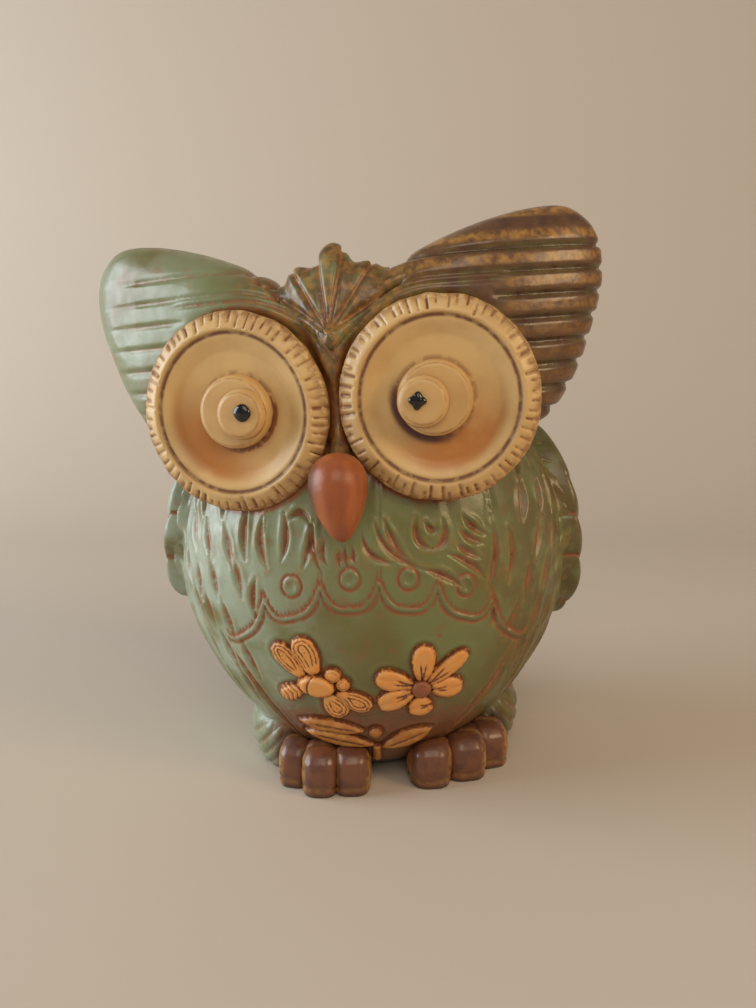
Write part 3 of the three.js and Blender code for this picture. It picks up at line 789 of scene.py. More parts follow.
def crest_fan(relief, points):
    """Creases that spread up from the place where the dishes almost meet."""
    eyes = [EYE_FRAMES[side] for side in EYES]
    root = sum(eye.middle + CREASE_ROOT * eye.up for eye in eyes) / 2
    across, up = points[:, 0] - root[0], points[:, 2] - root[2]
    away = np.hypot(across, up)
    turn = np.degrees(np.arctan2(across, np.maximum(up, 0.01)))
    off = turn / CREASE_SPACING - 0.5
    line = away * np.sin(np.radians(np.abs(off - np.round(off)) * CREASE_SPACING))
    where = ramp(away, 0, 6) * fade(away, 30, 42) * fade(np.abs(turn), 52, 62) * (up > 0)
    relief.groove(line, width=0.9, depth=1.5, stain=0.7, where=where)


def head_relief(points, strength):
    """The crest's creases, and the ribs: wide ones on the ears and fine ones on the forehead."""
    relief = Relief(points)
    crest_fan(relief, points)
    level, inner = rib_lines(points)
    outer = ramp(np.abs(points[:, 0] - BRIDGE_MIDDLE[0]), *EAR_START)
    face = fade(points[:, 1], HEAD_FACE - 8, HEAD_FACE + 8)
    above = ramp(level, BROW_LEVEL + 1, BROW_LEVEL + 3.5) * face
    on_ribs = np.maximum(outer * face, above)
    wide = off_lines(level, RIB_SPACING)
    below_top = np.maximum(fade(level, EAR_BAND, EAR_BAND + 4), inner)
    where = on_ribs * (1 - 0.4 * inner) * below_top
    relief.groove(wide, width=1.1, depth=1.7 * strength, stain=0.75 * strength, where=where)
    relief.groove(off_lines(level, RIB_SPACING / 2), width=0.8, depth=1.6, where=above * inner)
    relief.groove(level - BROW_LEVEL, width=0.9, depth=0.8, stain=0.6, where=(1 - outer) * face)
    relief.gold = on_ribs * ramp(wide, 1.6, 3.4)
    return relief


HAUNCH_SPACING = 4.2
TAIL_SPACING = 7.5
WING_ROWS = 5  # long feathers between the bottom of a wing and its top


def haunch_relief(points, sign):
    """Slanted ribs that fall away from the front. Sign is that of the haunch's own x."""
    relief = Relief(points)
    slanted = (sign * points[:, 0] + 0.75 * points[:, 2]) / 1.25
    relief.groove(off_lines(slanted, HAUNCH_SPACING), width=0.85, depth=0.8, stain=0.5)
    return relief


def tail_relief(points):
    """Upright ribs."""
    relief = Relief(points)
    across = points[:, 0] - node_middle("tail")[0]
    relief.groove(off_lines(across, TAIL_SPACING), width=0.9, depth=0.8, stain=0.7)
    return relief


def wing_relief(points):
    """Long feathers that run down and back, stained towards their tips."""
    relief = Relief(points)
    low, high = node_corner("wing_left"), node_top_corner("wing_left")
    part = (points - low) / (high - low)
    row = WING_ROWS * (part[:, 2] + 0.45 * part[:, 1] - 0.2 * part[:, 1] ** 2)
    spot = row - np.floor(row)
    feathers = fade(part[:, 2], 0.66, 0.82)
    relief.depth += 1.6 * (1 - np.sin(np.pi * spot) ** 0.6) * feathers
    between = np.minimum(spot, 1 - spot) * (high[2] - low[2]) / WING_ROWS
    relief.groove(between, width=1.0, depth=0.3, stain=0.8, where=feathers)
    tips = ramp(part[:, 1] - 0.4 * part[:, 2], 0.35, 0.9) * (points[:, 0] > BODY_AXIS[0])
    relief.add_stain(0.55 * tips)
    return relief


def relief_of(name, points):
    """The relief of a glazed piece, by the name of its CAD node."""
    if name == "body_shell":
        return body_relief(points)
    if name.startswith("haunch"):
        return haunch_relief(points, 1 if name.endswith("left") else -1)
    if name == "tail":
        return tail_relief(points)
    if name.startswith("wing"):
        return wing_relief(points)
    if name.startswith("crest"):
        relief = Relief(points)
        crest_fan(relief, points)
        return relief
    return head_relief(points, RIB_STRENGTHS.get(name, 1.0))


# The longest edges of the glazed pieces' meshes.
FRONT_EDGE = 0.95
SIDE_EDGE = 1.7
HIDDEN_EDGE = 6.0
HIDDEN_LEVEL = 140  # the body is inside the head above this
CALM_REACH = 40  # the relief gets shallower this far from a piece's seams


def wanted_edge(name, whole):
    """The longest edge that a glazed piece should have at each point."""
    def wanted(points):
        facing = -whole.outward(points)[:, 1]
        edge = np.where(facing > 0.05, FRONT_EDGE, SIDE_EDGE)
        if name == "body_shell":
            edge = np.where(points[:, 2] > HIDDEN_LEVEL, HIDDEN_EDGE, edge)
        return edge
    return wanted


def is_inside(name, points, body, whole):
    """Points on the inner wall of a hollow shell."""
    if name == "body_shell":
        return body.sample(points) < -0.6 * WALL
    if name == "head_shell":
        away = points - node_middle("head_shell")
        return (whole.outward(points) * away).sum(axis=1) < -0.2 * np.linalg.norm(away, axis=1)
    return np.zeros(len(points), bool)


def glazed_mesh(name, whole, share, body):
    """Points, triangles and relief of one glazed piece."""
    field = glazed_piece_field(whole, share)
    field = field.cropped(node_corner(name) - PIECE_MARGIN, node_top_corner(name) + PIECE_MARGIN)
    points, triangles = largest_part(*field.surface(every=2))
    points = field.settle(points)
    fine = wanted_edge(name, whole)

    def wanted(middles):
        return np.where(is_inside(name, middles, body, whole), HIDDEN_EDGE, fine(middles))

    for _ in range(3):
        points, triangles = split_edges(points, triangles, wanted)
        points = field.settle(points, rounds=1)
    relief = relief_of(name, points)
    shown = ~is_inside(name, points, body, whole)
    calm = bump(share.sample(points), CALM_REACH)
    moved = relief.pressed(points, whole.outward(points), shown * calm)
    return moved, triangles, relief


# ---------------------------------------------------------------- materials


class Finish:
    """One glaze: its colours are mixed in layers, each by a point attribute or a noise."""

    def __init__(self, name, base, roughness):
        self.material = bpy.data.materials.new(name)
        self.material.use_nodes = True
        self.tree = self.material.node_tree
        self.shader = self.tree.nodes["Principled BSDF"]
        self.place = self.node("ShaderNodeTexCoord").outputs["Object"]
        self.colour = self.node("ShaderNodeRGB").outputs[0]
        self.colour.default_value = (*base, 1)
        self.shader.inputs["Roughness"].default_value = roughness

    def node(self, kind, **settings):
        node = self.tree.nodes.new(kind)
        for key, value in settings.items():
            setattr(node, key, value)
        return node

    def link(self, source, target):
        if isinstance(source, (int, float)):
            target.default_value = source
        else:
            self.tree.links.new(source, target)

    def noise(self, size, low=0.35, high=0.65, detail=4.0, stretch=None):
        """A 0 to 1 noise with patches of about `size` millimetres."""
        place = self.place
        if stretch is not None:
            mapping = self.node("ShaderNodeMapping")
            mapping.inputs["Scale"].default_value = stretch
            self.link(place, mapping.inputs["Vector"])
            place = mapping.outputs["Vector"]
        noise = self.node("ShaderNodeTexNoise")
        noise.inputs["Scale"].default_value = 1 / (size * MM)
        noise.inputs["Detail"].default_value = detail
        self.link(place, noise.inputs["Vector"])
        return self.between(noise.outputs["Fac"], low, high)

    def between(self, value, low, high):
        """0 below low and 1 above high."""
        stretch = self.node("ShaderNodeMapRange", clamp=True, interpolation_type="SMOOTHSTEP")
        stretch.inputs["From Min"].default_value = low
        stretch.inputs["From Max"].default_value = high
        self.link(value, stretch.inputs["Value"])
        return stretch.outputs["Result"]

    def attribute(self, name):
        return self.node("ShaderNodeAttribute", attribute_name=name).outputs["Fac"]

    def maths(self, operation, *values):
        node = self.node("ShaderNodeMath", operation=operation, use_clamp=True)
        for value, socket in zip(values, node.inputs):
            self.link(value, socket)
        return node.outputs[0]

    def patchy(self, name, *noise):
        """An attribute where a noise lets it through."""
        return self.maths("MULTIPLY", self.attribute(name), self.noise(*noise))

    def broken(self, name, noise, least):
        """An attribute broken up by a noise, but never below `least` of itself."""
        return self.maths("MULTIPLY", self.attribute(name), self.maths("ADD", noise, least))

    def faint(self, noise, strength):
        """A noise at part of its strength."""
        return self.maths("MULTIPLY", noise, strength)

    def layer(self, amount, colour):
        """Paints a colour over what is there."""
        mix = self.node("ShaderNodeMix", data_type="RGBA")
        self.link(amount, mix.inputs["Factor"])
        self.link(self.colour, mix.inputs["A"])
        mix.inputs["B"].default_value = (*colour, 1)
        self.colour = mix.outputs["Result"]

    def bumps(self, *heights, strength=0.4):
        """Bumps from pairs of a value and its height in millimetres."""
        normal = None
        for value, height in heights:
            node = self.node("ShaderNodeBump")
            node.inputs["Strength"].default_value = strength
            node.inputs["Distance"].default_value = height * MM
            self.link(value, node.inputs["Height"])
            if normal is not None:
                self.link(normal, node.inputs["Normal"])
            normal = node.outputs["Normal"]
        self.link(normal, self.shader.inputs["Normal"])

    def finished(self, roughness=None, coat=0.0, coat_roughness=0.1):
        if roughness is not None:
            value, low, high = roughness
            spread = self.node("ShaderNodeMapRange")
            spread.inputs["To Min"].default_value = low
            spread.inputs["To Max"].default_value = high
            self.link(value, spread.inputs["Value"])
            self.link(spread.outputs["Result"], self.shader.inputs["Roughness"])
        self.shader.inputs["Coat Weight"].default_value = coat
        self.shader.inputs["Coat Roughness"].default_value = coat_roughness
        self.link(self.colour, self.shader.inputs["Base Color"])
        return self.material


SAGE = (0.170, 0.190, 0.070)
# The colour of a painted sheen of the cool window light.
SHEEN_SAGE = (0.36, 0.43, 0.33)
OLIVE = (0.150, 0.135, 0.038)
RUST = (0.27, 0.098, 0.035)
UMBER = (0.045, 0.018, 0.008)
OLD_GOLD = (0.42, 0.21, 0.04)
BARK = (0.105, 0.05, 0.013)
CREAM = (0.67, 0.45, 0.19)
TAN = (0.74, 0.31, 0.07)
PLUM = (0.10, 0.035, 0.03)


def layers_of_stain(finish):
    """Rust in the grooves and umber in the deepest, broken up as a wiped stain is, then umber
    over the painted shade and the darkest stain.
    """
    patches = finish.noise(2.2, 0.3, 0.7)
    broken = finish.broken("stain", patches, 0.55)
    finish.layer(finish.between(broken, 0.2, 0.75), RUST)
    finish.layer(finish.between(broken, 0.75, 1.15), UMBER)
    finish.layer(finish.attribute("dark"), UMBER)


def green_glaze():
    finish = Finish("green_glaze", SAGE, 0.32)
    finish.layer(finish.noise(38, 0.4, 0.62), OLIVE)
    # Painted sheen: the side towards -x is paled as the cool light from there would pale it.
    finish.layer(finish.patchy("painted_sheen", 16, 0.25, 0.6), SHEEN_SAGE)
    finish.layer(finish.faint(finish.noise(7, 0.55, 0.75), 0.35), RUST)
    finish.layer(finish.patchy("brown", 8, 0.3, 0.6), BARK)
    layers_of_stain(finish)
    finish.layer(finish.patchy("gold", 3, 0.4, 0.65), OLD_GOLD)
    finish.bumps((finish.noise(9, 0, 1), 0.5), (finish.noise(1.1, 0, 1), 0.08))
    return finish.finished(roughness=(finish.noise(5, 0.3, 0.7), 0.28, 0.46), coat=0.2)


def brown_glaze():
    finish = Finish("brown_glaze", (0.125, 0.058, 0.022), 0.3)
    finish.layer(finish.noise(6, 0.4, 0.7), (0.08, 0.034, 0.016))
    finish.layer(finish.patchy("stain", 9, 0.4, 0.6), OLIVE)
    finish.layer(finish.between(finish.attribute("stain"), 0.6, 1.1), UMBER)
    finish.layer(finish.patchy("gold", 3, 0.3, 0.7), OLD_GOLD)
    # Umber where shade is painted and where the stain is darkest.
    finish.layer(finish.attribute("dark"), UMBER)
    finish.bumps((finish.noise(7, 0, 1), 0.4), (finish.noise(1.3, 0, 1), 0.12))
    return finish.finished(roughness=(finish.noise(4, 0.3, 0.7), 0.24, 0.42), coat=0.3)


def cream_glaze():
    finish = Finish("cream_glaze", CREAM, 0.42)
    finish.layer(finish.faint(finish.noise(13, 0.4, 0.7), 0.5), (0.52, 0.31, 0.12))
    warm = finish.broken("warm", finish.noise(14, 0.1, 0.9), 0.6)
    finish.layer(finish.between(warm, 0.05, 1.1), (0.46, 0.17, 0.03))
    stain = finish.broken("stain", finish.noise(3), 0.45)
    finish.layer(finish.between(stain, 0.15, 0.9), (0.22, 0.075, 0.022))
    # Plum in the groove and in the painted shadow of the step.
    finish.layer(finish.attribute("dark"), PLUM)
    finish.bumps((finish.noise(6, 0, 1), 0.25), (finish.noise(0.9, 0, 1), 0.05))
    roughness = (finish.noise(6, 0.3, 0.7), 0.34, 0.5)
    return finish.finished(roughness=roughness, coat=0.15, coat_roughness=0.25)


def black_glaze():
    finish = Finish("black_glaze", (0.004, 0.004, 0.004), 0.12)
    finish.layer(finish.faint(finish.noise(1.5, 0.5, 0.7), 0.5), (0.03, 0.02, 0.012))
    finish.bumps((finish.noise(1.2, 0, 1), 0.1))
    return finish.finished(coat=0.3, coat_roughness=0.05)


def beak_glaze():
    finish = Finish("beak_glaze", (0.30, 0.078, 0.026), 0.4)
    streaks = finish.noise(9, 0.35, 0.7, stretch=(1.6, 1.6, 0.35))
    finish.layer(finish.faint(streaks, 0.8), (0.44, 0.125, 0.03))
    finish.layer(finish.attribute("stain"), (0.10, 0.028, 0.018))
    finish.layer(finish.patchy("gold", 2, 0.35, 0.6), OLD_GOLD)
    finish.bumps((finish.noise(4, 0, 1), 0.15), (finish.noise(0.8, 0, 1), 0.06))
    return finish.finished(roughness=(streaks, 0.36, 0.48), coat=0.1, coat_roughness=0.3)


def toe_glaze():
    finish = Finish("toe_glaze", (0.165, 0.06, 0.026), 0.34)
    finish.layer(finish.noise(5, 0.4, 0.7), (0.105, 0.038, 0.024))
    # Umber in the painted shade by the floor and in the knuckle lines.
    finish.layer(finish.attribute("dark"), UMBER)
    finish.layer(finish.patchy("gold", 2.5, 0.35, 0.6), OLD_GOLD)
    finish.bumps((finish.noise(4, 0, 1), 0.3), (finish.noise(1, 0, 1), 0.08))
    return finish.finished(roughness=(finish.noise(4), 0.28, 0.44), coat=0.3)


def sprig_glaze(name, base, warm):
    finish = Finish(name, base, 0.4)
    finish.layer(finish.noise(4, 0.4, 0.7), warm)
    stain = finish.broken("stain", finish.noise(2), 0.6)
    finish.layer(finish.between(stain, 0.25, 0.85), (0.17, 0.05, 0.018))
    finish.bumps((finish.noise(2.5, 0, 1), 0.12), (finish.noise(0.7, 0, 1), 0.05))
    return finish.finished(roughness=(finish.noise(3), 0.34, 0.5), coat=0.15, coat_roughness=0.2)


GREEN = green_glaze()
BROWN = brown_glaze()
CREAM_GLAZE = cream_glaze()
BLACK = black_glaze()
BEAK_GLAZE = beak_glaze()
TOE_GLAZE = toe_glaze()
SPRIG = sprig_glaze("sprig_glaze", TAN, (0.70, 0.34, 0.10))
FLOWER_CENTRE = sprig_glaze("flower_centre_glaze", (0.27, 0.085, 0.035), (0.36, 0.13, 0.05))
LEAF = sprig_glaze("leaf_glaze", (0.42, 0.16, 0.03), (0.54, 0.25, 0.05))

# ---------------------------------------------------------------- glazed pieces

BED_RADIUS = 35.5  # of the ring of the head round a dish that holds stain and painted shade
BED_BACK, BED_FRONT = -22, -8  # heights in the eye's frame where that stain and shade start and are full
GROUND_LOW, GROUND_HIGH = 26, 46  # levels between which the shade of the ground fades
HOLLOW_DEPTH = 1.3  # how deep in the blurred form a point is whose hollow is full of stain and painted shade


def ground_shade(points, front):
    """Where the belly meets the ground behind the stem and the toes."""
    aside = np.abs(points[:, 0] - node_middle("stem_knot")[0])
    low = fade(points[:, 2], GROUND_LOW, GROUND_HIGH)
    return low * fade(aside, 30, 50) * ramp(front, 0.1, 0.4)


def dish_bed_stain_and_shade(points):
    """The rings of the head that touch the dishes, where stain gathers and shade is painted under
    their rims.
    """
    beds = np.zeros(len(points))
    for eye in EYE_FRAMES.values():
        local = eye.to_local(points)
        away = np.hypot(local[:, 0], local[:, 1])
        near = fade(away, BED_RADIUS, BED_RADIUS + 3) * ramp(local[:, 2], BED_BACK, BED_FRONT)
        beds = np.maximum(beds, near)
    return beds


def painted_attributes(name, points, relief, whole, hollows):
    """Where the stain has gathered and where shade is painted in hollows, round the toes, by the
    ground and round the dishes, a painted sheen that pales the glaze towards -x, browner glaze
    towards +x, and gold rubbed on.
    """
    # Hollows hold stain, and painted shade darkens them as ambient occlusion would.
    hollow = np.clip(-hollows.sample(points) / HOLLOW_DEPTH, 0, 1)
    front = -whole.outward(points)[:, 1]
    # Painted shade on the body round and under the toes.
    toe_shadow = fade(TOES_FIELD.sample(points), 1, 6) * ramp(front, 0, 0.4)
    low = fade(points[:, 2], 30, 50)
    round_sprigs = fade(SPRIGS_FIELD.sample(points), 0.5, 2 + 3 * low) * ramp(front, 0.2, 0.6)
    ground = ground_shade(points, front)
    # The stain list mixes real stain with painted shade of the hollows, the ground and the rings
    # round the dishes; shades adds more painted shade.
    stains_and_shade = [relief.stain, 0.8 * hollow, round_sprigs, 0.8 * ground, 0.85 * dish_bed_stain_and_shade(points)]
    shades = [0.9 * ramp(hollow, 0.55, 1.3), 0.8 * toe_shadow, 0.45 * ground]
    return {
        "stain": np.maximum.reduce(stains_and_shade),
        "dark": np.maximum.reduce(shades),
        "gold": relief.gold,
        # Painted sheen of the cool light, paler towards -x and weaker on the head.
        "painted_sheen": ramp(points[:, 0], 20, -70) * (0.3 if name in HEAD_PARTS else 1.0),
        "brown": 0.6 * ramp(points[:, 0], 35, 85),
    }


def brow_paint(name, points, gold):
    """Gold and brown of the brow and crest, and gold over the upper ribs of the brown ear."""
    middle = np.abs(points[:, 0] - BRIDGE_MIDDLE[0])
    brow = fade(middle, 12, 46)
    if name == "ear_left":
        low, high = node_corner(name)[2], node_top_corner(name)[2]
        upper = ramp((points[:, 2] - low) / (high - low), 0.3, 0.9)
        gold = np.maximum(gold * (0.35 + 0.65 * upper), 0.8 * brow)
    else:
        gold = (0.55 + 0.45 * gold) * brow
    return {"gold": gold, "brown": 0.9 * brow}


def build_glazed_pieces():
    """One piece for each glazed node. Returns the distance to the solid body."""
    whole, shares, body = glazed_form()
    hollows = whole.blurred(HOLLOW_SOFTNESS)
    looks = {"ear_left": (BROWN, "ear_brown")}
    for name, share in shares.items():
        points, triangles, relief = glazed_mesh(name, whole, share, body)
        material, slot = looks.get(name, (GREEN, "green_glaze"))
        attributes = painted_attributes(name, points, relief, whole, hollows)
        if name in HEAD_PARTS:
            attributes.update(brow_paint(name, points, relief.gold))
        piece = add_mesh(f"{name}_glazed", points, triangles, material, attributes)
        place_piece(piece, name)
    return body


BODY_FIELD = build_glazed_pieces()

# ---------------------------------------------------------------- sprigs on the belly

SPRIG_VOXEL = 0.45
SPRIG_EDGE = 1.7  # how far in from its outline a sprig reaches its full height
SPRIG_ROOT = 1.6  # how far it goes into the body
SPRIG_GROW = 0.6  # the glaze that fills the joints between sprigs
SPRIG_SOFTNESS = 0.3
SPRIG_MARGIN = np.array([2.0, 2.5, 2.0])  # room round a sprig's CAD node on its grid
HUBS = {  # the node from which each kind of sprig grows
    "flower": "flower_centre",
    "dragonfly": "dragonfly_thorax",
    "leaf": "stem_knot",
    "stem": "stem_knot",
}


class Sprig:
    """A flat decoration: its outline in front view, its long axis and its height."""

    def __init__(self, name):
        self.name = name
        points, triangles = node_mesh(name)
        low, high = points.min(axis=0) - SPRIG_MARGIN, points.max(axis=0) + SPRIG_MARGIN
        self.field = mesh_field(points, triangles, SPRIG_VOXEL, 3, low, high)
        flat = self.field.values.min(axis=1)
        grid = self.field.grid_points()[:, 0, :, :][..., [0, 2]]
        inside = flat < 0
        edge = np.abs(flat) < 0.75 * SPRIG_VOXEL
        border = grid[edge]
        away = np.sqrt(((grid[:, :, None] - border[None, None]) ** 2).sum(axis=-1)).min(axis=-1)
        self.inward = np.where(inside, away, -away) + SPRIG_GROW
        self.proud = np.percentile(BODY_FIELD.sample(points), 96)
        self.find_axis(grid[inside])

    def find_axis(self, spots):
        middle = spots.mean(axis=0)
        axis = np.linalg.svd(spots - middle, full_matrices=False)[2][0]
        hub = node_middle(HUBS[self.name.split("_")[0]])[[0, 2]]
        if (middle - hub) @ axis < 0:
            axis = -axis
        along = (spots - middle) @ axis
        self.root = middle + along.min() * axis
        self.axis = axis
        self.side = np.array([-axis[1], axis[0]])
        self.length = along.max() - along.min()
        across = (spots - middle) @ self.side
        self.half_width = (across.max() - across.min()) / 2

    def height(self):
        """The surface's height over the body, for every x and z of the grid."""
        reach = min(SPRIG_EDGE, 0.8 * self.half_width)
        part = np.clip(self.inward / reach, 0, 1)
        rounded = self.proud * np.sqrt(1 - (1 - part) ** 2)
        return np.where(self.inward > 0, rounded, 1.2 * self.inward)

    def mesh(self):
        body = BODY_FIELD.sample(self.field.grid_points().reshape(-1, 3))
        body = body.reshape(self.field.values.shape)
        height = self.height()[:, None, :]
        values = np.maximum(body - height, -(body + SPRIG_ROOT)).astype(np.float32)
        solid = Field(self.field.start, SPRIG_VOXEL, values).blurred(SPRIG_SOFTNESS)
        points, triangles = solid.surface()
        return solid, points, triangles


class Spots:
    """Where some points lie on a sprig: along it, across it, and in from its outline."""

    def __init__(self, sprig, points):
        away = points[:, [0, 2]] - sprig.root
        self.along = away @ sprig.axis
        self.length = sprig.length
        self.part = self.along / self.length
        self.across = away @ sprig.side
        start = sprig.field.start
        outline = Field(start, SPRIG_VOXEL, np.repeat(sprig.inward[:, None, :], 3, axis=1))
        level = points.copy()
        level[:, 1] = (start[1] + 1) * SPRIG_VOXEL
        self.inward = outline.sample(level)


def petal_relief(relief, spots):
    for side in (-1, 1):
        line = np.abs(spots.across - side * 0.16 * spots.along)
        relief.groove(line, width=0.42, depth=0.5, where=ramp(spots.part, 0.62, 0.35))
    relief.depth += 0.35 * fade(np.abs(spots.across), 0, 1.6) * ramp(spots.part, 0.3, 1)
    relief.add_stain(0.55 * fade(spots.part, 0, 0.55))


def dragonfly_wing_relief(relief, spots):
    for part in (0.3, 0.66):
        line = spots.inward - part * spots.inward.max()
        relief.groove(line, width=0.3, depth=0.4, stain=0.9, where=ramp(spots.part, 0.12, 0.3))
    dots = wave(spots.along, 1.5) * ramp(spots.part, 0.35, 0.6)
    relief.groove(spots.across, width=0.4, depth=0.3, stain=0.8, where=dots)


def leaf_relief(relief, spots):
    vein = ramp(spots.part, 0.04, 0.2) * ramp(spots.part, 0.92, 0.7)
    relief.groove(spots.across, width=0.5, depth=0.5, where=vein)
    relief.depth -= 0.2 * ramp(spots.inward, 0.5, 2)


def abdomen_relief(relief, spots):
    rings = wave(spots.along - 0.4 * np.abs(spots.across), 1.9)
    relief.groove(1 - rings, width=0.25, depth=0.4, stain=0.8)


def thorax_relief(relief, spots):
    line = spots.along - 0.78 * spots.length + 0.08 * spots.across**2
    relief.groove(line, width=0.45, depth=0.4, stain=0.9)


def knob_relief(relief, spots):
    relief.groove(spots.inward - 0.45 * spots.inward.max(), width=0.3, depth=0.2, stain=0.6)


SPRIG_LOOKS = {
    "flower_petal": (SPRIG, "sprig_tan", petal_relief),
    "flower_centre": (FLOWER_CENTRE, "flower_centre", knob_relief),
    "dragonfly_wing": (SPRIG, "sprig_tan", dragonfly_wing_relief),
    "dragonfly_thorax": (SPRIG, "sprig_tan", thorax_relief),
    "dragonfly_abdomen": (SPRIG, "sprig_tan", abdomen_relief),
    "dragonfly_eye": (SPRIG, "sprig_tan", knob_relief),
    "leaf": (LEAF, "leaf_gold", leaf_relief),
    "stem": (LEAF, "leaf_gold", knob_relief),
    "stem_knot": (LEAF, "leaf_gold", knob_relief),
}


def build_sprig(name):
    """One decoration of the belly, moulded on the glazed body."""
    kind = name.rstrip("0123456789").rstrip("_")
    material, slot, shape = SPRIG_LOOKS[kind]
    sprig = Sprig(name)
    solid, points, triangles = sprig.mesh()
    relief = Relief(points)
    spots = Spots(sprig, points)
    shape(relief, spots)
    relief.add_stain(0.9 * ramp(spots.inward, 1.1, 0.1))
    top = ramp(BODY_FIELD.sample(points), 0.3, 1.0)
    points = relief.pressed(points, solid.outward(points), top)
    piece = add_mesh(f"{name}_sprig", points, triangles, material, {"stain": relief.stain})
    place_piece(piece, name)


for sprig_name in SPRIG_NODES:
    build_sprig(sprig_name)

# ---------------------------------------------------------------- toes and beak

SOLID_VOXEL = 0.8
TOE_SOFTNESS = 0.8
TOE_GROW = 0.7
BEAK_SOFTNESS = 1.0


def rounded_solid(name, softness, grow=0.0):
    """A finer mesh of a convex node with its facets softened."""
    field = node_field(name, softness, hull=True, voxel=SOLID_VOXEL)
    field.values -= grow
    points, triangles = field.surface()
    return field, field.settle(points), triangles


def build_toe(name):
    """A toe with a knuckle line, and gold rubbed on its sides."""
    field, points, triangles = rounded_solid(name, TOE_SOFTNESS, grow=TOE_GROW)
    low, high = node_corner(name), node_top_corner(name)
    from_tip = (points[:, 1] - low[1]) / (high[1] - low[1])
    side = (points[:, 0] - low[0]) / (high[0] - low[0])
    relief = Relief(points)
    relief.groove((from_tip - 0.3) * (high[1] - low[1]), width=0.9, depth=0.7, stain=0.8)
    at_tip = ramp(from_tip, 0.4, 0.15)
    relief.groove(points[:, 2] - 3.4, width=0.8, depth=0.6, stain=0.6, where=at_tip)
    points = relief.pressed(points, field.outward(points))
    gold = np.maximum(ramp(side, 0.12, 0), ramp(side, 0.86, 1)) * ramp(from_tip, 0.9, 0.5)
    gold = np.maximum(gold, 0.6 * relief.stain)
    # Painted shade at the bottom of the toe where it meets the floor, with umber in its grooves.
    dark = np.maximum(ramp(points[:, 2], 2.5, 0), 0.35 * relief.stain)
    piece = add_mesh(f"{name}_glazed", points, triangles, TOE_GLAZE, {"gold": gold, "dark": dark})
    place_piece(piece, name)


for toe_name in TOE_NODES:
    build_toe(toe_name)


def build_beak():
    """The beak, stained towards the head and rubbed with gold at one side of its tip."""
    _, points, triangles = rounded_solid("beak", BEAK_SOFTNESS)
    low, high = node_corner("beak"), node_top_corner("beak")
    part = (points - low) / (high - low)
    gold = ramp(part[:, 0], 0.7, 0.95) * ramp(part[:, 2], 0.5, 0.2)
    stain = np.maximum(ramp(part[:, 0], 0.25, 0.02), ramp(part[:, 1], 0.6, 0.95))
    piece = add_mesh("beak_glazed", points, triangles, BEAK_GLAZE, {"gold": gold, "stain": stain})
    place_piece(piece, "beak")


build_beak()

# ---------------------------------------------------------------- eyes

DISH_STEPS = 540  # points round a dish
STEP_STEPS = 160
PUPIL_STEPS = 72
NOTCHES = 62
STEP_HEIGHT = 6   # of the wide step over the bowl
EMBED = 0.6       # how far a step or a pupil goes into what it stands on
AXIS_GAP = 0.3    # radius of the last ring of a profile
STAINED_SIDE = {"left": 1.2, "right": 2.4}  # radians from the side axis down to the warm side
EYE_LOOK = (CREAM_GLAZE, "cream_stain")
PUPIL_LOOK = (BLACK, "pupil_glaze")


def ring_mesh(rings):
    """A closed mesh from rings of points, the first and last closed by a point."""
    count = rings.shape[1]
    points = np.concatenate([rings.reshape(-1, 3), rings[[0, -1]].mean(axis=1)])
    first, last = len(points) - 2, len(points) - 1
    step = np.arange(count)
    after = (step + 1) % count
    triangles = []
    for level in range(len(rings) - 1):
        a, b = level * count + step, level * count + after
        c, d = a + count, b + count
        triangles.append(np.stack([a, b, d], axis=1))
        triangles.append(np.stack([a, d, c], axis=1))
    top = (len(rings) - 1) * count
    triangles.append(np.stack([np.full(count, first), after, step], axis=1))
    triangles.append(np.stack([np.full(count, last), top + step, top + after], axis=1))
    return points, np.concatenate(triangles)


def smooth_profile(corners, spacing=0.45, softness=2):
    """Evenly spaced points along a profile of (radius, height) corners, slightly rounded."""
    corners = np.array(corners, float)
    lengths = np.linalg.norm(np.diff(corners, axis=0), axis=1)
    marks = np.concatenate([[0], np.cumsum(lengths)])
    count = int(marks[-1] / spacing)
    spots = np.linspace(0, marks[-1], count)
    profile = np.stack([np.interp(spots, marks, corners[:, axis]) for axis in range(2)], axis=1)
    for _ in range(softness):
        profile[1:-1] = (profile[:-2] + 2 * profile[1:-1] + profile[2:]) / 4
    return profile


def turned(profile, steps):
    """Radius, height and angle of a profile turned round its axis, ring by ring."""
    angle = np.linspace(0, 2 * np.pi, steps, endpoint=False)
    radius = np.repeat(profile[:, :1], steps, axis=1)
    height = np.repeat(profile[:, 1:], steps, axis=1)
    return radius, height, np.broadcast_to(angle, radius.shape)


def notch_marks(radius, angle, rim_start, rim_end, random):
    """Radial cuts round the rim of a dish: 1 in a cut and 0 elsewhere."""
    marks = np.zeros(radius.shape)
    for index in range(NOTCHES):
        turn = 2 * np.pi * (index + random.uniform(-0.22, 0.22)) / NOTCHES
        width = random.uniform(0.35, 0.85)
        inner = rim_start + random.uniform(0.4, 3.6)
        outer = rim_end - random.choice([0.0, 0.0, 0.6, 1.8])
        across = radius * np.abs(np.arctan2(np.sin(angle - turn), np.cos(angle - turn)))
        length = ramp(radius, inner - 0.5, inner + 0.4) * ramp(radius, outer + 1.2, outer + 0.3)
        marks = np.maximum(marks, random.uniform(0.65, 1) * bump(across, width) * length)
    return marks


def rings_at(middle, radius, height, angle, tallness=1.0):
    """Points of a turned part in its eye's frame, ring by ring."""
    across = middle[0] + radius * np.cos(angle)
    up = middle[1] + tallness * radius * np.sin(angle)
    return np.stack([across, up, height], axis=-1)


def with_ends(values, first=0, last=0):
    """Values for every point of a ring mesh: those of its rings and of its two end points."""
    return np.append(values, [first, last])


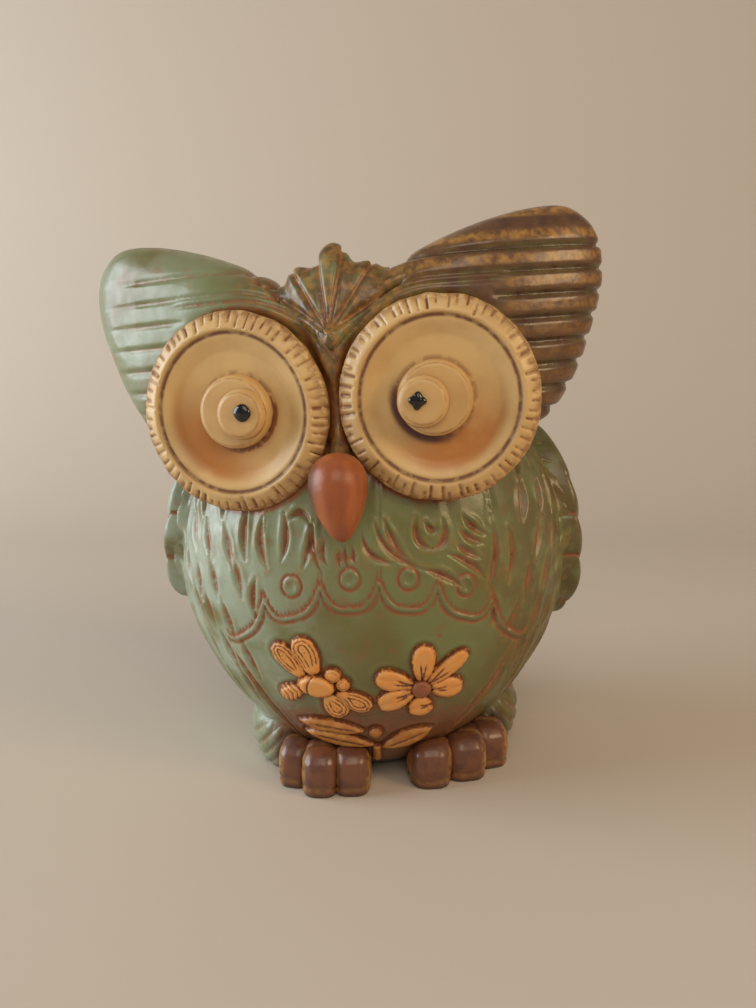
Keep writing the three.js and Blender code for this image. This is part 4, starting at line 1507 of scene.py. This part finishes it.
def outward_faces(points, triangles):
    """The triangles, turned so that they face out of their solid."""
    a, b, c = (points[triangles[:, corner]] - points.mean(axis=0) for corner in range(3))
    volume = np.einsum("ij,ij->i", a, np.cross(b, c)).sum()
    return triangles if volume > 0 else triangles[:, ::-1]


def add_turned_piece(node, side, rings, look, attributes=None):
    """A turned part of an eye, from its rings in the eye's frame."""
    material, slot = look
    points, triangles = ring_mesh(rings)
    world = EYE_FRAMES[side].to_world(points)
    triangles = outward_faces(world, triangles)
    piece = add_mesh(f"{node}_glazed", world, triangles, material, attributes)
    place_piece(piece, node)


def round_part(side, node):
    """Middle, radius, bottom and top of a round part, in its eye's frame."""
    local = EYE_FRAMES[side].to_local(node_mesh(node)[0])
    low, high = local.min(axis=0), local.max(axis=0)
    return (low + high) / 2, (high[0] - low[0]) / 2, low[2], high[2]


class Dish:
    """The dish round an eye: its sizes come from its CAD node, heights are over its rim."""

    def __init__(self, side):
        self.side = side
        local = EYE_FRAMES[side].to_local(node_mesh(f"eye_dish_{side}")[0])
        self.rim = np.abs(local[:, 0]).max()
        self.tallness = np.abs(local[:, 1]).max() / self.rim
        bowl = np.hypot(local[:, 0], local[:, 1]) < 0.55 * self.rim
        self.floor = np.percentile(local[bowl, 2], 98)
        self.back = local[:, 2].min() * 0.7
        self.groove = 0.785 * self.rim

    def profile(self):
        """From the back, round the rolled rim and over the groove, down into the bowl."""
        rim, groove, floor = self.rim, self.groove, self.floor
        return smooth_profile([
            (0.72 * rim, self.back),
            (rim - 0.9, -8.3),
            (rim - 0.15, -6.4),
            (rim - 0.15, -4.2),
            (rim - 1.3, -3.0),
            (groove + 1.6, -0.25),
            (groove + 0.7, -0.5),
            (groove, -1.9),
            (groove - 1.1, -1.5),
            (0.6 * rim, floor + 0.35),
            (0.3 * rim, floor),
            (AXIS_GAP, floor - 0.15),
        ])

    def wobble(self, angle, random):
        """How far the hand-turned rim stands in, round the dish."""
        total = 0
        for waves in range(3, 16, 2):
            size = random.uniform(0.05, 0.16)
            total = total + size * np.sin(waves * angle + random.uniform(0, 6))
        return np.abs(total)

    def step_shadow(self, radius, angle):
        """How far each point is from the foot of the step, and how much it lies below it."""
        middle, step_radius, _, _ = round_part(self.side, f"eye_step_{self.side}")
        inward = -1 if self.side == "left" else 1
        across = radius * np.cos(angle) - middle[0]
        up = self.tallness * radius * np.sin(angle) - middle[1]
        below = ramp(-(up - inward * across) / step_radius, 0.2, 1.3)
        return np.hypot(across, up) - step_radius, below

    def attributes(self, radius, height, angle, notches):
        """Warm round the bowl, stain in the cuts and the groove, and round the step a brown ring,
        widened below it by a painted shadow of the step.
        """
        rim, groove = self.rim, self.groove
        from_step, below = self.step_shadow(radius, angle)
        on_face = height > -8
        low_side = 0.5 - 0.5 * np.sin(angle)
        stained = 0.5 + 0.5 * np.cos(angle + STAINED_SIDE[self.side])
        # The from_step entries are a brown ring round the step's foot, widened and darkened below
        # it by a painted shadow of the step.
        warm = [
            ramp(radius, 6, 14) * ramp(radius, groove - 1, groove - 6) * stained**2,
            0.55 * low_side * ramp(radius, groove, rim),
            0.7 * fade(from_step, 0, 5) * (0.3 + 0.7 * below),
        ]
        stain = [
            0.95 * notches,
            0.8 * bump(radius - groove + 0.2, 0.8) * on_face,
            0.6 * ramp(radius, groove + 1.5, rim - 0.4) * on_face,
            fade(from_step, 0.5, 2.6) * (0.5 + 0.5 * below),
            0.3 * fade(height, -6.5, -4.6) * (radius > 0.6 * rim),
        ]
        dark = [
            0.5 * bump(radius - groove + 0.1, 0.7) * on_face,
            0.95 * fade(from_step, 1.2, 3.4) * below * (self.side == "left"),
        ]
        layers = {"warm": warm, "stain": stain, "dark": dark}
        return {key: np.maximum.reduce(parts) for key, parts in layers.items()}


def build_dish(side, random):
    """The dish round an eye, with cuts round its rim."""
    dish = Dish(side)
    rim, groove = dish.rim, dish.groove
    radius, height, angle = turned(dish.profile(), DISH_STEPS)
    on_rim = ramp(radius, groove + 0.5, groove + 1.5) * ramp(height, -6.8, -4.5)
    notches = notch_marks(radius, angle, groove + 0.8, rim, random) * on_rim
    radius = radius - dish.wobble(angle, random) * ramp(radius, rim - 2, rim)
    height = height - notches
    attributes = dish.attributes(
        with_ends(radius),
        with_ends(height, dish.back, dish.floor),
        with_ends(angle),
        with_ends(notches),
    )
    rings = rings_at((0, 0), radius, height, angle, dish.tallness)
    add_turned_piece(f"eye_dish_{side}", side, rings, EYE_LOOK, attributes)


def build_step(side, kind):
    """A round step of the eye, with a thin brown line round its foot and painted shade on one
    side.
    """
    node = f"{kind}_{side}"
    middle, rim, bottom, top = round_part(side, node)
    knob_bottom = round_part(side, f"eye_knob_{side}")[2]
    ground = bottom if kind == "eye_knob" else knob_bottom - STEP_HEIGHT
    profile = smooth_profile([
        (rim * 0.9, bottom - EMBED),
        (rim, bottom),
        (rim - 0.2, bottom + 0.6),
        (rim - 0.6, top - 1.5),
        (rim - 1.9, top - 0.15),
        (rim * 0.5, top),
        (AXIS_GAP, top),
    ], spacing=0.35)
    radius, height, angle = turned(profile, STEP_STEPS)
    rings = rings_at(middle, radius, height, angle)
    radius, height, angle = with_ends(radius), with_ends(height, bottom, top), with_ends(angle)
    shaded = 0.5 - 0.5 * np.sin(angle + 0.5)
    foot = fade(height, ground + 0.8, top - 0.8)
    foot_line = fade(height, ground + 0.5, ground + 1.5)
    edge_line = bump(radius - rim + 1.5, 0.4) * (height > top - 1)
    # The shaded side gets painted shade: warmer, more stained and darker at the foot.
    attributes = {
        "warm": np.maximum(0.7 * foot * (0.4 + 0.6 * shaded), 0.35),
        "stain": np.maximum(foot_line * (0.5 + 0.5 * shaded), 0.5 * edge_line),
        "dark": (0.8 if side == "left" else 0.3) * foot_line * ramp(shaded, 0.5, 0.9),
    }
    add_turned_piece(node, side, rings, EYE_LOOK, attributes)


def build_pupil(side):
    """A drop of black glaze. The left one has run into four lobes."""
    node = f"pupil_{side}"
    middle, rim, bottom, top = round_part(side, node)
    lobes = 0.13 if side == "left" else 0.03
    part = np.linspace(0, np.pi / 2, 14)
    dome = np.maximum(rim * np.cos(part), 0.02), bottom + (top - bottom) * np.sin(part)
    profile = np.vstack([[rim * 0.98, bottom - EMBED], np.stack(dome, axis=1)])
    radius, height, angle = turned(profile, PUPIL_STEPS)
    radius = radius * (1 - lobes + lobes * np.cos(4 * angle + 0.6))
    add_turned_piece(node, side, rings_at(middle, radius, height, angle), PUPIL_LOOK)


for eye_side in EYES:
    build_dish(eye_side, np.random.default_rng(SEED + EYES.index(eye_side)))
    build_step(eye_side, "eye_step")
    build_step(eye_side, "eye_knob")
    build_pupil(eye_side)

# ---------------------------------------------------------------- stage, lights and camera


def plain_material(name, colour, roughness, scale):
    material = bpy.data.materials.new(name)
    material.use_nodes = True
    tree = material.node_tree
    shader = tree.nodes["Principled BSDF"]
    shader.inputs["Base Color"].default_value = (*colour, 1)
    shader.inputs["Roughness"].default_value = roughness
    noise = tree.nodes.new("ShaderNodeTexNoise")
    noise.inputs["Scale"].default_value = scale
    bumps = tree.nodes.new("ShaderNodeBump")
    bumps.inputs["Strength"].default_value = 0.15
    bumps.inputs["Distance"].default_value = 0.001
    tree.links.new(noise.outputs["Fac"], bumps.inputs["Height"])
    tree.links.new(bumps.outputs["Normal"], shader.inputs["Normal"])
    return material


def build_stage():
    """A pale floor that curves up into a backdrop."""
    width, back, front, rise, curve = 3.0, 0.75, -1.6, 2.2, 0.35
    profile = [(front, 0.0), (back - curve, 0.0)]
    for step in range(1, 13):
        turn = step / 12 * math.pi / 2
        profile.append((back - curve + curve * math.sin(turn), curve - curve * math.cos(turn)))
    profile.append((back, rise))
    points = np.array([(x, y, z) for y, z in profile for x in (-width, width)]) / MM
    faces = [(2 * i, 2 * i + 1, 2 * i + 3, 2 * i + 2) for i in range(len(profile) - 1)]
    paper = plain_material("stage_paper", (0.60, 0.53, 0.45), 0.75, 220)
    stage = add_mesh("stage", points, np.array(faces), paper)


def add_area_light(name, place, size, power, colour):
    light = bpy.data.lights.new(name, "AREA")
    light.size = size
    light.energy = power
    light.color = colour
    lamp = bpy.data.objects.new(name, light)
    lamp.location = place
    aim = Vector(LIGHT_TARGET) - Vector(place)
    lamp.rotation_euler = aim.to_track_quat("-Z", "Y").to_euler()
    bpy.context.scene.collection.objects.link(lamp)


LIGHT_TARGET = (0, 0, 0.11)
LIGHTS = (  # name, place, size, watts and colour
    ("window", (-1.15, -0.05, 0.40), 0.9, 14, (0.88, 0.94, 1.0)),
    ("lamp", (0.95, -0.6, 0.6), 0.5, 5, (1.0, 0.72, 0.42)),
    ("front", (0.1, -1.2, 1.1), 0.9, 6, (1.0, 0.88, 0.70)),
)


def build_lights():
    """Three soft lights and an even background."""
    for light in LIGHTS:
        add_area_light(*light)
    world = bpy.data.worlds.new("studio")
    world.use_nodes = True
    background = world.node_tree.nodes["Background"]
    background.inputs["Color"].default_value = (0.92, 0.88, 0.84, 1)
    background.inputs["Strength"].default_value = 0.27
    bpy.context.scene.world = world


def build_camera():
    """The photograph's view: a little above the owl and tilted down 10 degrees."""
    camera = bpy.data.cameras.new("camera")
    camera.sensor_width = 36
    camera.sensor_height = 36
    camera.sensor_fit = "VERTICAL"
    camera.lens = 32.14
    holder = bpy.data.objects.new("camera", camera)
    tilt = math.radians(10)
    distance = 0.3782
    target = Vector((BODY_AXIS[0] * MM + 0.002, BODY_AXIS[1] * MM, 0.1022))
    holder.location = target + distance * Vector((0, -math.cos(tilt), math.sin(tilt)))
    holder.rotation_euler = (math.pi / 2 - tilt, 0, 0)
    bpy.context.scene.collection.objects.link(holder)
    bpy.context.scene.camera = holder


build_stage()
build_lights()
build_camera()
bpy.context.scene.view_settings.view_transform = "Standard"
